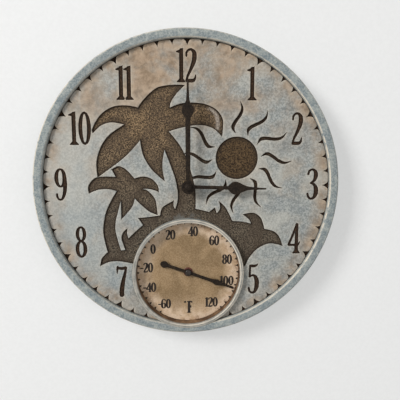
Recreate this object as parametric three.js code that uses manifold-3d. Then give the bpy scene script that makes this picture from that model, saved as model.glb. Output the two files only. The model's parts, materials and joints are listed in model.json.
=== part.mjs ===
// An outdoor wall clock: a round casting with a sunk palm beach scene, two hands and a dial thermometer.
// Millimetres. While it is built, z = 0 is the wall, z runs forward, x runs to the viewer's right and
// y runs up. The finished clock is turned so that z is up and the face looks along -y, with its origin
// in the middle of its box.
import * as THREE from "three";
import { mergeVertices } from "three/addons/utils/BufferGeometryUtils.js";
import Module from "manifold-3d";

// Fits
const SEAT_GAP = 0.3; // between pieces that rest on each other
const RUNNING_GAP = 0.15; // round a shaft in its bearing
const CUT_MARGIN = 1; // how far a cutting tool runs past the faces that it opens

// Case: one casting with a rim, a dial, an outer wall and an open back
const CASE_RADIUS = 152.5;
const CASE_WALL = 4;
const RIM_WIDTH = 9.2;
const RIM_ROUND = 2.2;
const RIM_HEIGHT = 4.5;
const DIAL_THICKNESS = 4;
const ART_DEPTH = 1.8;
const MARK_DEPTH = 1.2;

// Triangular marks that stand on the rim's inner edge and point at the middle
const MARK_COUNT = 60;
const MARKS_PER_HOUR = 5;
const HOUR_MARK_LENGTH = 6.7;
const HOUR_MARK_WIDTH = 8;
const MINUTE_MARK_LENGTH = 4.4;
const MINUTE_MARK_WIDTH = 4;
const MARK_SETBACK = 0.3; // from the rim's inner edge

// Thermometer
const GAUGE_GAP = 5.2; // between the movement and the thermometer's ring
const GAUGE_EDGE = 5.3; // from the ring to the case's outer edge
const GAUGE_RING_WIDTH = 4;
const GAUGE_RING_ROUND = 1.4;
const GAUGE_RING_PROUD = 1;
const GAUGE_POCKET_DEPTH = 11;
const GAUGE_FLOOR = 3;
const GAUGE_DIAL_THICKNESS = 0.8;
const EYELET_FLANGE_RADIUS = 5;
const EYELET_FLANGE = 0.6;
const EYELET_WALL = 1.2;
const GAUGE_SHAFT_RADIUS = 0.8;
const CUP_INNER_RADIUS = 16;
const CUP_WALL = 1;
const CUP_FLANGE_WIDTH = 4;
const CUP_DEPTH = 9;
const BRIDGE_WIDTH = 6;
const BRIDGE_THICKNESS = 1;
const BRIDGE_POST = 1.6;
const BIMETAL_TURNS = 4.25;
const BIMETAL_PITCH = 2.2;
const BIMETAL_STRIP = 0.6;
const BIMETAL_WIDTH = 4;
const BIMETAL_HUB_RADIUS = 1.8;
const POINTER_END_GAP = 3.4; // from the pointer's tip to the pocket's wall
const POINTER_TAIL = 26;
const POINTER_EYE_RADIUS = 3.5;
const POINTER_EYE_HOLE = 1.1;
const POINTER_HUB_RADIUS = 3.6;
const POINTER_STEM_WIDTH = 1.8;
const POINTER_THICKNESS = 0.6;
const POINTER_LIFT = 3; // from the thermometer's dial to the pointer
const POINTER_REST_DEGREES = -20;
const POINTER_CAP_RADIUS = 3.4;
const POINTER_CAP_HEIGHT = 1.8;

// Movement: a square quartz drive as wide as the AA cell under its wheels needs, or its motor
const MOVEMENT_CORNER = 3;
const MOVEMENT_WALL = 1.2;
const REAR_PLATE = 1;
const FRONT_PLATE = 0.8;
const MIDDLE_PLATE = 1;
const CASE_SPLIT = 8; // height of the rear cover's walls
const PILLAR_RADIUS = 1.2;
const PILLAR_INSET = 3.5;
const LOW_PILLAR_LIFT = 8; // of the lower pillar, above the bay
const KNOB_RADIUS = 6.5;
const KNOB_THICKNESS = 2.4;
const KNOB_GRIPS = 24;
const KNOB_GRIP_DEPTH = 0.5;
const WALL_CLEARANCE = 0.8; // from the wall to the setting knob
const GASKET_THICKNESS = 0.8;
const GASKET_RADIUS = 9;

// Battery and its contacts
const BATTERY_RADIUS = 7.25;
const BATTERY_LENGTH = 50.5;
const BATTERY_NUB_RADIUS = 2.6;
const BATTERY_NUB_LENGTH = 1.1;
const BATTERY_EDGE_ROUND = 0.8;
const BAY_END_WALL = 1.1;
const BAY_SIDE_GAP = 0.4;
const BAY_FLOOR_GAP = 0.2;
const BAY_FLOOR = 0.8;
const BAY_DIVIDER = 1;
const CONTACT_THICKNESS = 0.4;
const CONTACT_WIDTH = 9;
const CONTACT_TAB_WIDTH = 2.4;
const CONTACT_TAB_REACH = 3;
const CONTACT_SPRING_RADIUS = 3.2;
const CONTACT_SPRING_TIP = 1.2;
const CONTACT_SPRING_TRAVEL = 1.3;

// Wheels. A wheel's distance from its mate is set, and the size of its teeth follows from that.
const WHEEL_THICKNESS = 0.8;
const LAYER_GAP = 0.8;
const PINION_OVERHANG = 0.3;
const ARBOR_RADIUS = 0.5;
const SET_ARBOR_RADIUS = 0.8; // of the minute wheel, out to the setting knob
const PIVOT_DEPTH = 0.6; // how far an arbor enters its bearing
const TRAIN_DISTANCE = 10.08;
const ROTOR_DISTANCE = 8.4;
const MOTION_DISTANCE = 10.5;
const ROTOR_TEETH = 6;
const FIFTH_TEETH = 30;
const FIFTH_PINION_TEETH = 6;
const SECONDS_TEETH = 36;
const SECONDS_PINION_TEETH = 6;
const THIRD_TEETH = 45;
const THIRD_PINION_TEETH = 6;
const CENTRE_TEETH = 48;
const CANNON_TEETH = 10;
const MINUTE_WHEEL_TEETH = 30;
const MINUTE_PINION_TEETH = 8;
const HOUR_TEETH = 32;
const THIRD_DIRECTION = 165; // degrees round the middle, from x towards y
const FIFTH_DIRECTION = 75;
const ROTOR_DIRECTION = 20; // from the fifth wheel
const MINUTE_DIRECTION = 15;
const ADDENDUM = 0.75; // in modules
const DEDENDUM = 1.15;
const WHEEL_ROOT_SHARE = 0.8; // of the pitch that the foot of a wheel's pointed tooth takes
const PINION_ROOT_SHARE = 0.5;
const PINION_TIP_SHARE = 0.2;

// Motor and electronics
const MAGNET_RADIUS = 3;
const MAGNET_LENGTH = 2;
const MAGNET_CLEARANCE = 0.6;
const STATOR_THICKNESS = 0.8;
const STATOR_GAP = 0.5;
const STATOR_RING_WIDTH = 2.2;
const STATOR_BAR_WIDTH = 4.4;
const STATOR_LEG_WIDTH = 4;
const STATOR_REACH = 16; // from the middle to each leg's centre line
const COIL_WALL_GAP = 1.95; // from the coil's cheeks to the cover's upper wall
const COIL_LENGTH = 22;
const COIL_CORE_THICKNESS = 1;
const COIL_CORE_WIDTH = 2.4;
const COIL_SPOOL_WALL = 0.4;
const COIL_CHEEK = 0.8;
const COIL_RADIUS = 2.5;
const COIL_CHEEK_PROUD = 0.15;
const BOARD_WIDTH = 6;
const BOARD_LENGTH = 22;
const BOARD_THICKNESS = 0.8;
const BOARD_LIFT = 2;
const BOARD_INSET = 0.9;
const CHIP_SIDE = 3.4;
const CHIP_HEIGHT = 0.9;
const CRYSTAL_RADIUS = 1;
const CRYSTAL_LENGTH = 6;

// Shafts, nut and hands
const MINUTE_ARBOR_RADIUS = 1.5;
const MINUTE_ARBOR_BORE = 0.7;
const MINUTE_TIP_RADIUS = 1.1;
const HOUR_PIPE_WALL = 0.85;
const BUSH_WALL = 1.25;
const WASHER_THICKNESS = 0.5;
const WASHER_RADIUS = 6.2;
const NUT_SIDES = 6;
const NUT_ACROSS_FLATS = 10.6;
const NUT_THICKNESS = 2.5;
const BUSH_PROUD = 1.4; // past the nut
const HOUR_PIPE_PROUD = 4.9; // past the bush
const HAND_THICKNESS = 0.8;
const HAND_SPACING = 2.2; // between the two hands
const HAND_HUB_RADIUS = 6.5;
const MINUTE_REACH = 102;
const HOUR_REACH = 77.5;
const MINUTE_REST_DEGREES = 90; // at twelve
const HOUR_REST_DEGREES = -1.7; // just past three
const CAP_RADIUS = 3.6;
const CAP_HEIGHT = 3.8;
const CAP_ROOF = 1.2;

// Widths along each blade: a distance from its hub, as a share of its reach, and half of the width there
const MINUTE_STATIONS = [
  [0, 2.1],
  [0.61, 2.3],
  [0.66, 3.1],
  [0.7, 5.3],
  [0.725, 5.9],
  [0.755, 5.2],
  [0.795, 2.6],
  [0.835, 1.2],
  [1, 0.5],
];
const HOUR_STATIONS = [
  [0, 1.4],
  [0.48, 1.5],
  [0.515, 2.1],
  [0.555, 5],
  [0.595, 6.3],
  [0.645, 5.6],
  [0.72, 3],
  [0.8, 1.2],
  [1, 0.4],
];
const POINTER_STATIONS = [
  [0, 0.9],
  [0.5, 0.9],
  [0.585, 2.4],
  [0.645, 3],
  [0.705, 1.8],
  [0.79, 0.65],
  [1, 0.4],
];

// Hanger
const HANGER_EDGE = 18.5; // from the case's wall to the strip's upper edge
const HANGER_WIDTH = 72;
const HANGER_STRIP = 24;
const HANGER_THICKNESS = 1.2;
const HANGER_CORNER = 4;
const HANGER_SCREW_SPACING = 54;
const BOSS_WALL = 3.4;
const SCREW_RADIUS = 1.5;
const SCREW_LENGTH = 12;
const SCREW_HEAD_RADIUS = 3.2;
const SCREW_CROWN_RADIUS = 2.3; // flat top of the head
const SCREW_HEAD_EDGE = 0.6;
const SCREW_HEAD_HEIGHT = 1.8;
const SCREW_HEAD_CLEARANCE = 0.5; // from the wall
const KEYHOLE_RADIUS = 4.6;
const KEYHOLE_SLOT_RADIUS = 2.4;
const KEYHOLE_TRAVEL = 9;

// Corners closer than this are one corner
const MERGE_DISTANCE = 1e-4;

// Sides of round pieces
const CASE_STEPS = 60;
const GAUGE_STEPS = 40;
const ROUND_STEPS = 20;
const SMALL_STEPS = 10;
const CORNER_STEPS = 2;
const COIL_STEPS = 12; // in each turn of the bimetal coil
const OUTLINE_STEPS = 2; // straight lines between two given points of a curved edge

// Scene sunk in the dial, drawn for a dial of this radius. Each row is one curved edge: it starts at a
// corner, passes through its other points and ends at the next row's corner.
const SCENE_DIAL_RADIUS = 143.3;
const TALL_PALM = [
  [[-48.4, 77.3], [-43.4, 84.5], [-29.6, 96.5], [-12.1, 99.3]],
  [[-2.4, 98.9], [-10.2, 91.4], [-16.2, 82.6]],
  [[-17.2, 77.4], [-5.4, 81.6], [12.3, 81.8], [27.1, 76.6], [35.1, 65.4]],
  [[34.2, 48.7], [26.2, 56.6], [12.3, 60.5], [-5.5, 58]],
  [[-18.4, 54.1], [-8.6, 41.9], [-1.2, 28], [5.2, 7.4], [7.8, -8]],
  [[7.7, -27]],
  [[-14.2, -27], [-10.4, -15], [-10.6, -3], [-13.8, 11.1]],
  [[-23, 36], [-24.8, 26.1], [-25, 16]],
  [[-22.8, 4.6], [-35.6, 16.2], [-44.3, 31.1]],
  [[-47, 45.4], [-57, 34.1], [-70.1, 22.8]],
  [[-89.6, 9], [-90.4, 24], [-85.3, 40], [-76.2, 51.7]],
  [[-62.4, 60.9], [-74, 62.9], [-84.5, 60]],
  [[-92.8, 52.4], [-93.4, 57], [-85.4, 70], [-72.6, 78.2], [-58, 79.2]],
];
const SMALL_PALM = [
  [[-75.6, 16.8], [-69, 20.2], [-61, 16.6]],
  [[-53.1, 7.8], [-45, 9.7], [-35.8, 7.2], [-29.8, 0]],
  [[-29.2, -6.2], [-34, -4], [-41, -2.6]],
  [[-45, -3], [-39.9, -4.8], [-32.6, -14]],
  [[-30.6, -29.4], [-39.2, -25.6], [-49.1, -16.9]],
  [[-53.2, -12.4], [-56.4, -21.5]],
  [[-67.2, -33.8], [-67.2, -25]],
  [[-67.2, -15.4], [-71, -29], [-73.1, -45]],
  [[-66.5, -71]],
  [[-80.5, -71], [-85.5, -47.2], [-81.6, -24]],
  [[-71.2, -4.9], [-79, -2.9], [-90, -3.6]],
  [[-98.7, -7.2], [-99, 0.4], [-92.1, 8.5], [-80, 9.8]],
  [[-71.9, 9.4]],
];
const ISLAND = [
  [[-89.6, -81.9], [-87.6, -73.4]],
  [[-81.3, -66.9]],
  [[-63.8, -65], [-67.4, -53], [-65, -46]],
  [[-61.1, -42.8], [-61.6, -48]],
  [[-60.3, -53.1], [-52.6, -45.6]],
  [[-45.5, -39.6]],
  [[-50.4, -32.2], [-38.3, -31.2]],
  [[-28.2, -29.8], [-25.4, -21.4]],
  [[-14, -14.6], [-14.4, -20]],
  [[-12, -25]],
  [[5, -22.6], [15.3, -25]],
  [[21.4, -26.6]],
  [[27.4, -22.1]],
  [[29.5, -28.2], [32.6, -23]],
  [[31.3, -15.4], [38.6, -22.6]],
  [[45.4, -36.1], [56, -37]],
  [[64.4, -39], [62, -34.4]],
  [[55.6, -29.5], [66.3, -27.8], [74.6, -33.3]],
  [[78.4, -44.7], [88, -47.2], [94.2, -53.4]],
  [[97.5, -62.8], [84.4, -60], [71, -65.8], [61.8, -77.1]],
  [[56.5, -88]],
  [[0, -50]],
  [[-50, -82]],
  [[-56.3, -79.6], [-69.4, -76.9], [-81, -77.6]],
];
const SUN_AT = [49.2, 27.9];
const SUN_RADIUS = 21.2;
const RAY_COUNT = 12;
const RAY_FIRST_DEGREES = 86.8;
const RAY_LEFT_OUT = 11; // where a frond lies
// One wavy ray, drawn along x: distance from the sun's middle, offset to the side, half of the width
const RAY_STATIONS = [
  [24.4, 2.8, 0.3],
  [28.7, 5.6, 1.5],
  [32.6, 5.3, 1.9],
  [37.6, 2.6, 2],
  [42.9, -0.7, 1.8],
  [49.2, -2.3, 1.2],
  [56.1, 0, 0.2],
];

// Colours, roughness and metalness
const FINISHES = {
  stone: [0x8f9694, 0.85, 0],
  bronze_black: [0x2a2019, 0.5, 0.4],
  dial_tan: [0xb08a62, 0.7, 0.1],
  brass: [0xb08d4a, 0.35, 1],
  steel: [0x9a9da0, 0.35, 1],
  bimetal: [0x9c7b52, 0.4, 1],
  black_plastic: [0x1c1c1e, 0.55, 0],
  white_nylon: [0xe4e2da, 0.6, 0],
  board_green: [0x2d5a38, 0.6, 0],
  copper: [0xa4552a, 0.4, 1],
  magnet: [0x4a4a4d, 0.6, 0.3],
  battery_sleeve: [0x3c5a78, 0.4, 0.3],
  rubber: [0x161616, 0.9, 0],
};

const radians = THREE.MathUtils.degToRad;

// Where the layers of the movement lie, counted forward from its rear face
const MAGNET_LEVEL = REAR_PLATE + MAGNET_CLEARANCE;
const STATOR_LEVEL = MAGNET_LEVEL + (MAGNET_LENGTH - STATOR_THICKNESS) / 2;
const LAYER = WHEEL_THICKNESS + LAYER_GAP;
const FIFTH_LEVEL = MAGNET_LEVEL + MAGNET_LENGTH + LAYER_GAP;
const SECONDS_LEVEL = FIFTH_LEVEL + LAYER;
const THIRD_LEVEL = SECONDS_LEVEL + LAYER;
const CENTRE_LEVEL = THIRD_LEVEL + LAYER;
const MIDDLE_LEVEL = CENTRE_LEVEL + LAYER;
const MINUTE_LEVEL = MIDDLE_LEVEL + MIDDLE_PLATE + LAYER_GAP;
const HOUR_LEVEL = MINUTE_LEVEL + LAYER;
const TRAIN_DEPTH = HOUR_LEVEL + LAYER + FRONT_PLATE;
const BAY_DEPTH = 2 * BATTERY_RADIUS + BAY_FLOOR_GAP + BAY_FLOOR;
const MOVEMENT_DEPTH = Math.max(TRAIN_DEPTH, BAY_DEPTH + SEAT_GAP + FRONT_PLATE);
const ARBOR_REAR = REAR_PLATE - PIVOT_DEPTH;
const ARBOR_FRONT = MIDDLE_LEVEL + PIVOT_DEPTH;
const COIL_LEVEL = STATOR_LEVEL + STATOR_THICKNESS + SEAT_GAP + COIL_CORE_THICKNESS / 2;
const BOARD_LEVEL = REAR_PLATE + BOARD_LIFT;
const CONTACT_TAB_LEVEL = BOARD_LEVEL + BOARD_THICKNESS + SEAT_GAP;

// Where the layers of the clock lie, counted forward from the wall
const KNOB_LEVEL = WALL_CLEARANCE;
const MOVEMENT_LEVEL = KNOB_LEVEL + KNOB_THICKNESS + SEAT_GAP;
const GASKET_LEVEL = MOVEMENT_LEVEL + MOVEMENT_DEPTH + SEAT_GAP;
const DIAL_REAR = GASKET_LEVEL + GASKET_THICKNESS + SEAT_GAP;
const DIAL_FRONT = DIAL_REAR + DIAL_THICKNESS;
const CASE_DEPTH = DIAL_FRONT + RIM_HEIGHT;
const WASHER_LEVEL = DIAL_FRONT + SEAT_GAP;
const NUT_LEVEL = WASHER_LEVEL + WASHER_THICKNESS + SEAT_GAP;
const BUSH_END = NUT_LEVEL + NUT_THICKNESS + BUSH_PROUD;
const HOUR_PIPE_END = BUSH_END + HOUR_PIPE_PROUD;
const HOUR_HAND_LEVEL = HOUR_PIPE_END - HAND_THICKNESS;
const MINUTE_HAND_LEVEL = HOUR_PIPE_END + HAND_SPACING;
const CAP_LEVEL = MINUTE_HAND_LEVEL + HAND_THICKNESS + SEAT_GAP;
const CLOCK_DEPTH = CAP_LEVEL + CAP_HEIGHT;
const HANGER_LEVEL = SCREW_HEAD_CLEARANCE + SCREW_HEAD_HEIGHT + SEAT_GAP;
const BOSS_LEVEL = HANGER_LEVEL + HANGER_THICKNESS + SEAT_GAP;
const SCREW_TIP_LEVEL = SCREW_HEAD_CLEARANCE + SCREW_HEAD_HEIGHT + SCREW_LENGTH;

// Where the rim, the hanger and the battery's bay lie, seen from the front
const RIM_INNER_RADIUS = CASE_RADIUS - RIM_WIDTH;
const HANGER_HEIGHT = CASE_RADIUS - CASE_WALL - HANGER_EDGE - HANGER_STRIP / 2;
const BAY_HALF_LENGTH =
  BATTERY_LENGTH / 2 + 2 * SEAT_GAP + CONTACT_THICKNESS + CONTACT_SPRING_TRAVEL / 2;
const STATOR_RING_RADIUS = MAGNET_RADIUS + STATOR_GAP + STATOR_RING_WIDTH;
const ROTOR_HEIGHT =
  TRAIN_DISTANCE * Math.sin(radians(FIFTH_DIRECTION)) + ROTOR_DISTANCE * Math.sin(radians(ROTOR_DIRECTION));
const COIL_CHEEK_RADIUS = COIL_RADIUS + COIL_CHEEK_PROUD;
const MOTOR_TOP = ROTOR_HEIGHT + STATOR_RING_RADIUS + SEAT_GAP + 2 * COIL_CHEEK_RADIUS;
const MOVEMENT_HALF = Math.max(
  BAY_HALF_LENGTH + BAY_END_WALL,
  MOTOR_TOP + COIL_WALL_GAP + MOVEMENT_WALL,
);
const COIL_HEIGHT = MOVEMENT_HALF - MOVEMENT_WALL - COIL_WALL_GAP - COIL_CHEEK_RADIUS;
const BAY_BOTTOM = -MOVEMENT_HALF + MOVEMENT_WALL;
const BATTERY_Y = BAY_BOTTOM + BAY_SIDE_GAP + BATTERY_RADIUS;
const BAY_TOP = BATTERY_Y + BATTERY_RADIUS + BAY_SIDE_GAP;
const DIVIDER_TOP = BAY_TOP + BAY_DIVIDER;
const BOARD_LEFT = -MOVEMENT_HALF + MOVEMENT_WALL + BOARD_INSET;
const BOARD_BOTTOM = DIVIDER_TOP + BOARD_INSET + CONTACT_THICKNESS;

// Where the thermometer lies: it fills the height between the movement and the case's edge
const GAUGE_RING_RADIUS = (CASE_RADIUS - GAUGE_EDGE - MOVEMENT_HALF - GAUGE_GAP) / 2;
const GAUGE_DROP = MOVEMENT_HALF + GAUGE_GAP + GAUGE_RING_RADIUS;
const GAUGE_POCKET_RADIUS = GAUGE_RING_RADIUS - GAUGE_RING_WIDTH;
const POINTER_REACH = GAUGE_POCKET_RADIUS - POINTER_END_GAP;
const GAUGE_RING_FRONT = CASE_DEPTH + GAUGE_RING_PROUD;
const GAUGE_DIAL_FRONT = GAUGE_RING_FRONT - GAUGE_POCKET_DEPTH;
const GAUGE_DIAL_REAR = GAUGE_DIAL_FRONT - GAUGE_DIAL_THICKNESS;
const GAUGE_FLOOR_FRONT = GAUGE_DIAL_REAR - SEAT_GAP;
const GAUGE_FLOOR_REAR = GAUGE_FLOOR_FRONT - GAUGE_FLOOR;
const CUP_FRONT = GAUGE_FLOOR_REAR - SEAT_GAP;
const CUP_REAR = CUP_FRONT - CUP_DEPTH;
const BRIDGE_LEVEL = CUP_REAR + CUP_WALL + SEAT_GAP;
const BIMETAL_LEVEL = BRIDGE_LEVEL + BRIDGE_THICKNESS + SEAT_GAP;
const POINTER_LEVEL = GAUGE_DIAL_FRONT + POINTER_LIFT;
const POINTER_CAP_LEVEL = POINTER_LEVEL + POINTER_THICKNESS + SEAT_GAP;

// Radii that follow from their neighbours
const HOUR_PIPE_BORE = MINUTE_ARBOR_RADIUS + RUNNING_GAP;
const HOUR_PIPE_RADIUS = HOUR_PIPE_BORE + HOUR_PIPE_WALL;
const BUSH_BORE = HOUR_PIPE_RADIUS + RUNNING_GAP;
const BUSH_RADIUS = BUSH_BORE + BUSH_WALL;
const EYELET_BORE = GAUGE_SHAFT_RADIUS + RUNNING_GAP;
const EYELET_RADIUS = EYELET_BORE + EYELET_WALL;
const BIMETAL_INNER_RADIUS = BIMETAL_HUB_RADIUS + SEAT_GAP + BIMETAL_STRIP / 2;

const wasm = await Module();
wasm.setup();

// A closed geometry as a solid that can be joined and cut.
function toSolid(geometry) {
  const bare = geometry.index ? geometry.toNonIndexed() : geometry.clone();
  bare.deleteAttribute("normal");
  bare.deleteAttribute("uv");
  const merged = mergeVertices(bare, MERGE_DISTANCE);
  return new wasm.Manifold(
    new wasm.Mesh({
      numProp: 3,
      vertProperties: merged.attributes.position.array,
      triVerts: new Uint32Array(merged.index.array),
    }),
  );
}

function toGeometry(solid) {
  const mesh = solid.getMesh();
  const geometry = new THREE.BufferGeometry();
  geometry.setAttribute("position", new THREE.BufferAttribute(mesh.vertProperties, 3));
  geometry.setIndex(new THREE.BufferAttribute(mesh.triVerts, 1));
  const flat = geometry.toNonIndexed();
  flat.computeVertexNormals();
  return flat;
}

function join(...solids) {
  return solids.reduce((whole, next) => whole.add(next));
}

function cut(solid, ...tools) {
  return tools.reduce((left, tool) => left.subtract(tool), solid);
}

// Solids. Each runs from one height to another along z.
function prism(shape, low, high, curveSteps = CORNER_STEPS) {
  const options = { depth: high - low, bevelEnabled: false, curveSegments: curveSteps };
  return toSolid(new THREE.ExtrudeGeometry(shape, options).translate(0, 0, low));
}

function rod(radius, low, high, [x, y] = [0, 0], steps = ROUND_STEPS) {
  const geometry = new THREE.CylinderGeometry(radius, radius, high - low, steps);
  return toSolid(geometry.rotateX(Math.PI / 2).translate(x, y, (low + high) / 2));
}

function block(x0, x1, y0, y1, z0, z1) {
  const geometry = new THREE.BoxGeometry(x1 - x0, y1 - y0, z1 - z0);
  return toSolid(geometry.translate((x0 + x1) / 2, (y0 + y1) / 2, (z0 + z1) / 2));
}

// A closed profile of [radius, z] pairs, given anticlockwise, turned about the z axis.
function revolve(profile, steps = ROUND_STEPS) {
  const points = [...profile, profile[0]].map(([r, z]) => new THREE.Vector2(r, z));
  return toSolid(new THREE.LatheGeometry(points, steps).rotateX(Math.PI / 2));
}

function tube(outer, inner, low, high, steps = ROUND_STEPS) {
  const profile = [
    [inner, low],
    [outer, low],
    [outer, high],
    [inner, high],
  ];
  return revolve(profile, steps);
}

// Points on a quarter round of a profile, from one angle in degrees to another.
function roundCorner(r, z, radius, from, to, steps = CORNER_STEPS) {
  return Array.from({ length: steps + 1 }, (_, i) => {
    const angle = radians(from + ((to - from) * i) / steps);
    return [r + radius * Math.cos(angle), z + radius * Math.sin(angle)];
  });
}

// Flat outlines
function polygon(points) {
  return new THREE.Shape(points.map(([x, y]) => new THREE.Vector2(x, y)));
}

function smooth(points, stepsPerSpan = OUTLINE_STEPS) {
  const curve = new THREE.SplineCurve(points.map(([x, y]) => new THREE.Vector2(x, y)));
  return curve.getPoints((points.length - 1) * stepsPerSpan).map((p) => [p.x, p.y]);
}

// Rows of edges joined at their corners into one closed outline.
function edgedOutline(edges) {
  const rows = edges.map((edge, i) => {
    const next = edges[(i + 1) % edges.length][0];
    return smooth([...edge, next]).slice(0, -1);
  });
  return polygon(rows.flat());
}

function roundedSquare(half, corner) {
  const shape = new THREE.Shape();
  const inner = half - corner;
  shape.absarc(inner, inner, corner, 0, Math.PI / 2);
  shape.absarc(-inner, inner, corner, Math.PI / 2, Math.PI);
  shape.absarc(-inner, -inner, corner, Math.PI, Math.PI * 1.5);
  shape.absarc(inner, -inner, corner, Math.PI * 1.5, Math.PI * 2);
  return shape;
}

// A blade that lies along x, the same on both sides, through its stations.
function bladeOutline(stations, reach) {
  const upper = smooth(stations.map(([share, half]) => [share * reach, half]));
  const lower = upper.map(([x, half]) => [x, -half]).reverse();
  return polygon([...upper, ...lower]);
}

// Teeth round a wheel, one of them in the given direction. A tooth's corners are pairs of a height above
// the pitch circle, in modules, and a place across the tooth, as a share of the pitch.
function toothedOutline(teeth, module, toothDegrees, corners) {
  const pitchRadius = (teeth * module) / 2;
  const step = (2 * Math.PI) / teeth;
  const points = [];
  for (let i = 0; i < teeth; i += 1) {
    for (const [height, share] of corners) {
      const radius = pitchRadius + height * module;
      const angle = radians(toothDegrees) + (i + share) * step;
      points.push([radius * Math.cos(angle), radius * Math.sin(angle)]);
    }
  }
  return polygon(points);
}

function wheelOutline(teeth, module, toothDegrees) {
  const foot = WHEEL_ROOT_SHARE / 2;
  const corners = [
    [-DEDENDUM, -foot],
    [ADDENDUM, 0],
    [-DEDENDUM, foot],
  ];
  return toothedOutline(teeth, module, toothDegrees, corners);
}

function pinionOutline(teeth, module, toothDegrees) {
  const foot = PINION_ROOT_SHARE / 2;
  const top = PINION_TIP_SHARE / 2;
  const corners = [
    [-DEDENDUM, -foot],
    [ADDENDUM, -top],
    [ADDENDUM, top],
    [-DEDENDUM, foot],
  ];
  return toothedOutline(teeth, module, toothDegrees, corners);
}

const moduleFor = (distance, teethA, teethB) => (2 * distance) / (teethA + teethB);
const halfTooth = (teeth) => 180 / teeth;

function onCircle(distance, degrees, [x, y] = [0, 0]) {
  return [
    x + distance * Math.cos(radians(degrees)),
    y + distance * Math.sin(radians(degrees)),
  ];
}

// Axes of the wheels, in the movement's plane
const MIDDLE = [0, 0];
const THIRD_AT = onCircle(TRAIN_DISTANCE, THIRD_DIRECTION);
const FIFTH_AT = onCircle(TRAIN_DISTANCE, FIFTH_DIRECTION);
const ROTOR_AT = onCircle(ROTOR_DISTANCE, ROTOR_DIRECTION, FIFTH_AT);
const MINUTE_WHEEL_AT = onCircle(MOTION_DISTANCE, MINUTE_DIRECTION);
const MODULE_ROTOR = moduleFor(ROTOR_DISTANCE, ROTOR_TEETH, FIFTH_TEETH);
const MODULE_FIFTH = moduleFor(TRAIN_DISTANCE, FIFTH_PINION_TEETH, SECONDS_TEETH);
const MODULE_SECONDS = moduleFor(TRAIN_DISTANCE, SECONDS_PINION_TEETH, THIRD_TEETH);
const MODULE_THIRD = moduleFor(TRAIN_DISTANCE, THIRD_PINION_TEETH, CENTRE_TEETH);
const MODULE_CANNON = moduleFor(MOTION_DISTANCE, CANNON_TEETH, MINUTE_WHEEL_TEETH);
const MODULE_HOUR = moduleFor(MOTION_DISTANCE, MINUTE_PINION_TEETH, HOUR_TEETH);

// Clock and its groups
const clock = new THREE.Group();
const movement = new THREE.Group();
const gauge = new THREE.Group();
movement.position.z = MOVEMENT_LEVEL;
gauge.position.y = -GAUGE_DROP;
clock.add(movement, gauge);

function addPiece(group, name, finish, solid, [x, y] = MIDDLE, degrees = 0) {
  const [color, roughness, metalness] = FINISHES[finish];
  const material = new THREE.MeshStandardMaterial({ color, roughness, metalness });
  const mesh = new THREE.Mesh(toGeometry(solid), material);
  mesh.name = name;
  mesh.position.set(x, y, 0);
  mesh.rotation.z = radians(degrees);
  group.add(mesh);
}

// Case
function caseBlank() {
  const inner = CASE_RADIUS - CASE_WALL;
  const crown = CASE_DEPTH - RIM_ROUND;
  return revolve(
    [
      [0, DIAL_REAR],
      [inner, DIAL_REAR],
      [inner, 0],
      [CASE_RADIUS, 0],
      ...roundCorner(CASE_RADIUS - RIM_ROUND, crown, RIM_ROUND, 0, 90),
      ...roundCorner(RIM_INNER_RADIUS + RIM_ROUND, crown, RIM_ROUND, 90, 180),
      [RIM_INNER_RADIUS, DIAL_FRONT],
      [0, DIAL_FRONT],
    ],
    CASE_STEPS,
  );
}

function gaugeWell() {
  const crown = GAUGE_RING_FRONT - GAUGE_RING_ROUND;
  const profile = [
    [CUP_INNER_RADIUS, GAUGE_FLOOR_REAR],
    [GAUGE_RING_RADIUS, GAUGE_FLOOR_REAR],
    ...roundCorner(GAUGE_RING_RADIUS - GAUGE_RING_ROUND, crown, GAUGE_RING_ROUND, 0, 90),
    ...roundCorner(GAUGE_POCKET_RADIUS + GAUGE_RING_ROUND, crown, GAUGE_RING_ROUND, 90, 180),
    [GAUGE_POCKET_RADIUS, GAUGE_FLOOR_FRONT],
    [CUP_INNER_RADIUS, GAUGE_FLOOR_FRONT],
  ];
  return revolve(profile, GAUGE_STEPS).translate([0, -GAUGE_DROP, 0]);
}

function markTool(length, width, depth) {
  const base = RIM_INNER_RADIUS * Math.cos(Math.PI / CASE_STEPS) - MARK_SETBACK;
  const outline = polygon([
    [base, -width / 2],
    [base, width / 2],
    [RIM_INNER_RADIUS - length, 0],
  ]);
  return prism(outline, DIAL_FRONT - depth, DIAL_FRONT + CUT_MARGIN);
}

// Marks all round, apart from those that the thermometer's ring covers.
function markTools() {
  const hourTool = markTool(HOUR_MARK_LENGTH, HOUR_MARK_WIDTH, ART_DEPTH);
  const minuteTool = markTool(MINUTE_MARK_LENGTH, MINUTE_MARK_WIDTH, MARK_DEPTH);
  const tools = [];
  for (let i = 0; i < MARK_COUNT; i += 1) {
    const degrees = (360 * i) / MARK_COUNT;
    const [x, y] = onCircle(RIM_INNER_RADIUS, degrees);
    const fromGauge = Math.hypot(x, y + GAUGE_DROP);
    if (fromGauge > GAUGE_RING_RADIUS + HOUR_MARK_WIDTH / 2) {
      const tool = i % MARKS_PER_HOUR === 0 ? hourTool : minuteTool;
      tools.push(tool.rotate([0, 0, degrees]));
    }
  }
  return tools;
}

function rayTool(floor, degrees) {
  const upper = RAY_STATIONS.map(([x, y, half]) => [x, y + half]);
  const lower = RAY_STATIONS.map(([x, y, half]) => [x, y - half]).reverse();
  const tool = prism(polygon([...upper, ...lower]), floor, CASE_DEPTH);
  return tool.rotate([0, 0, degrees]).translate([...SUN_AT, 0]);
}

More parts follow.
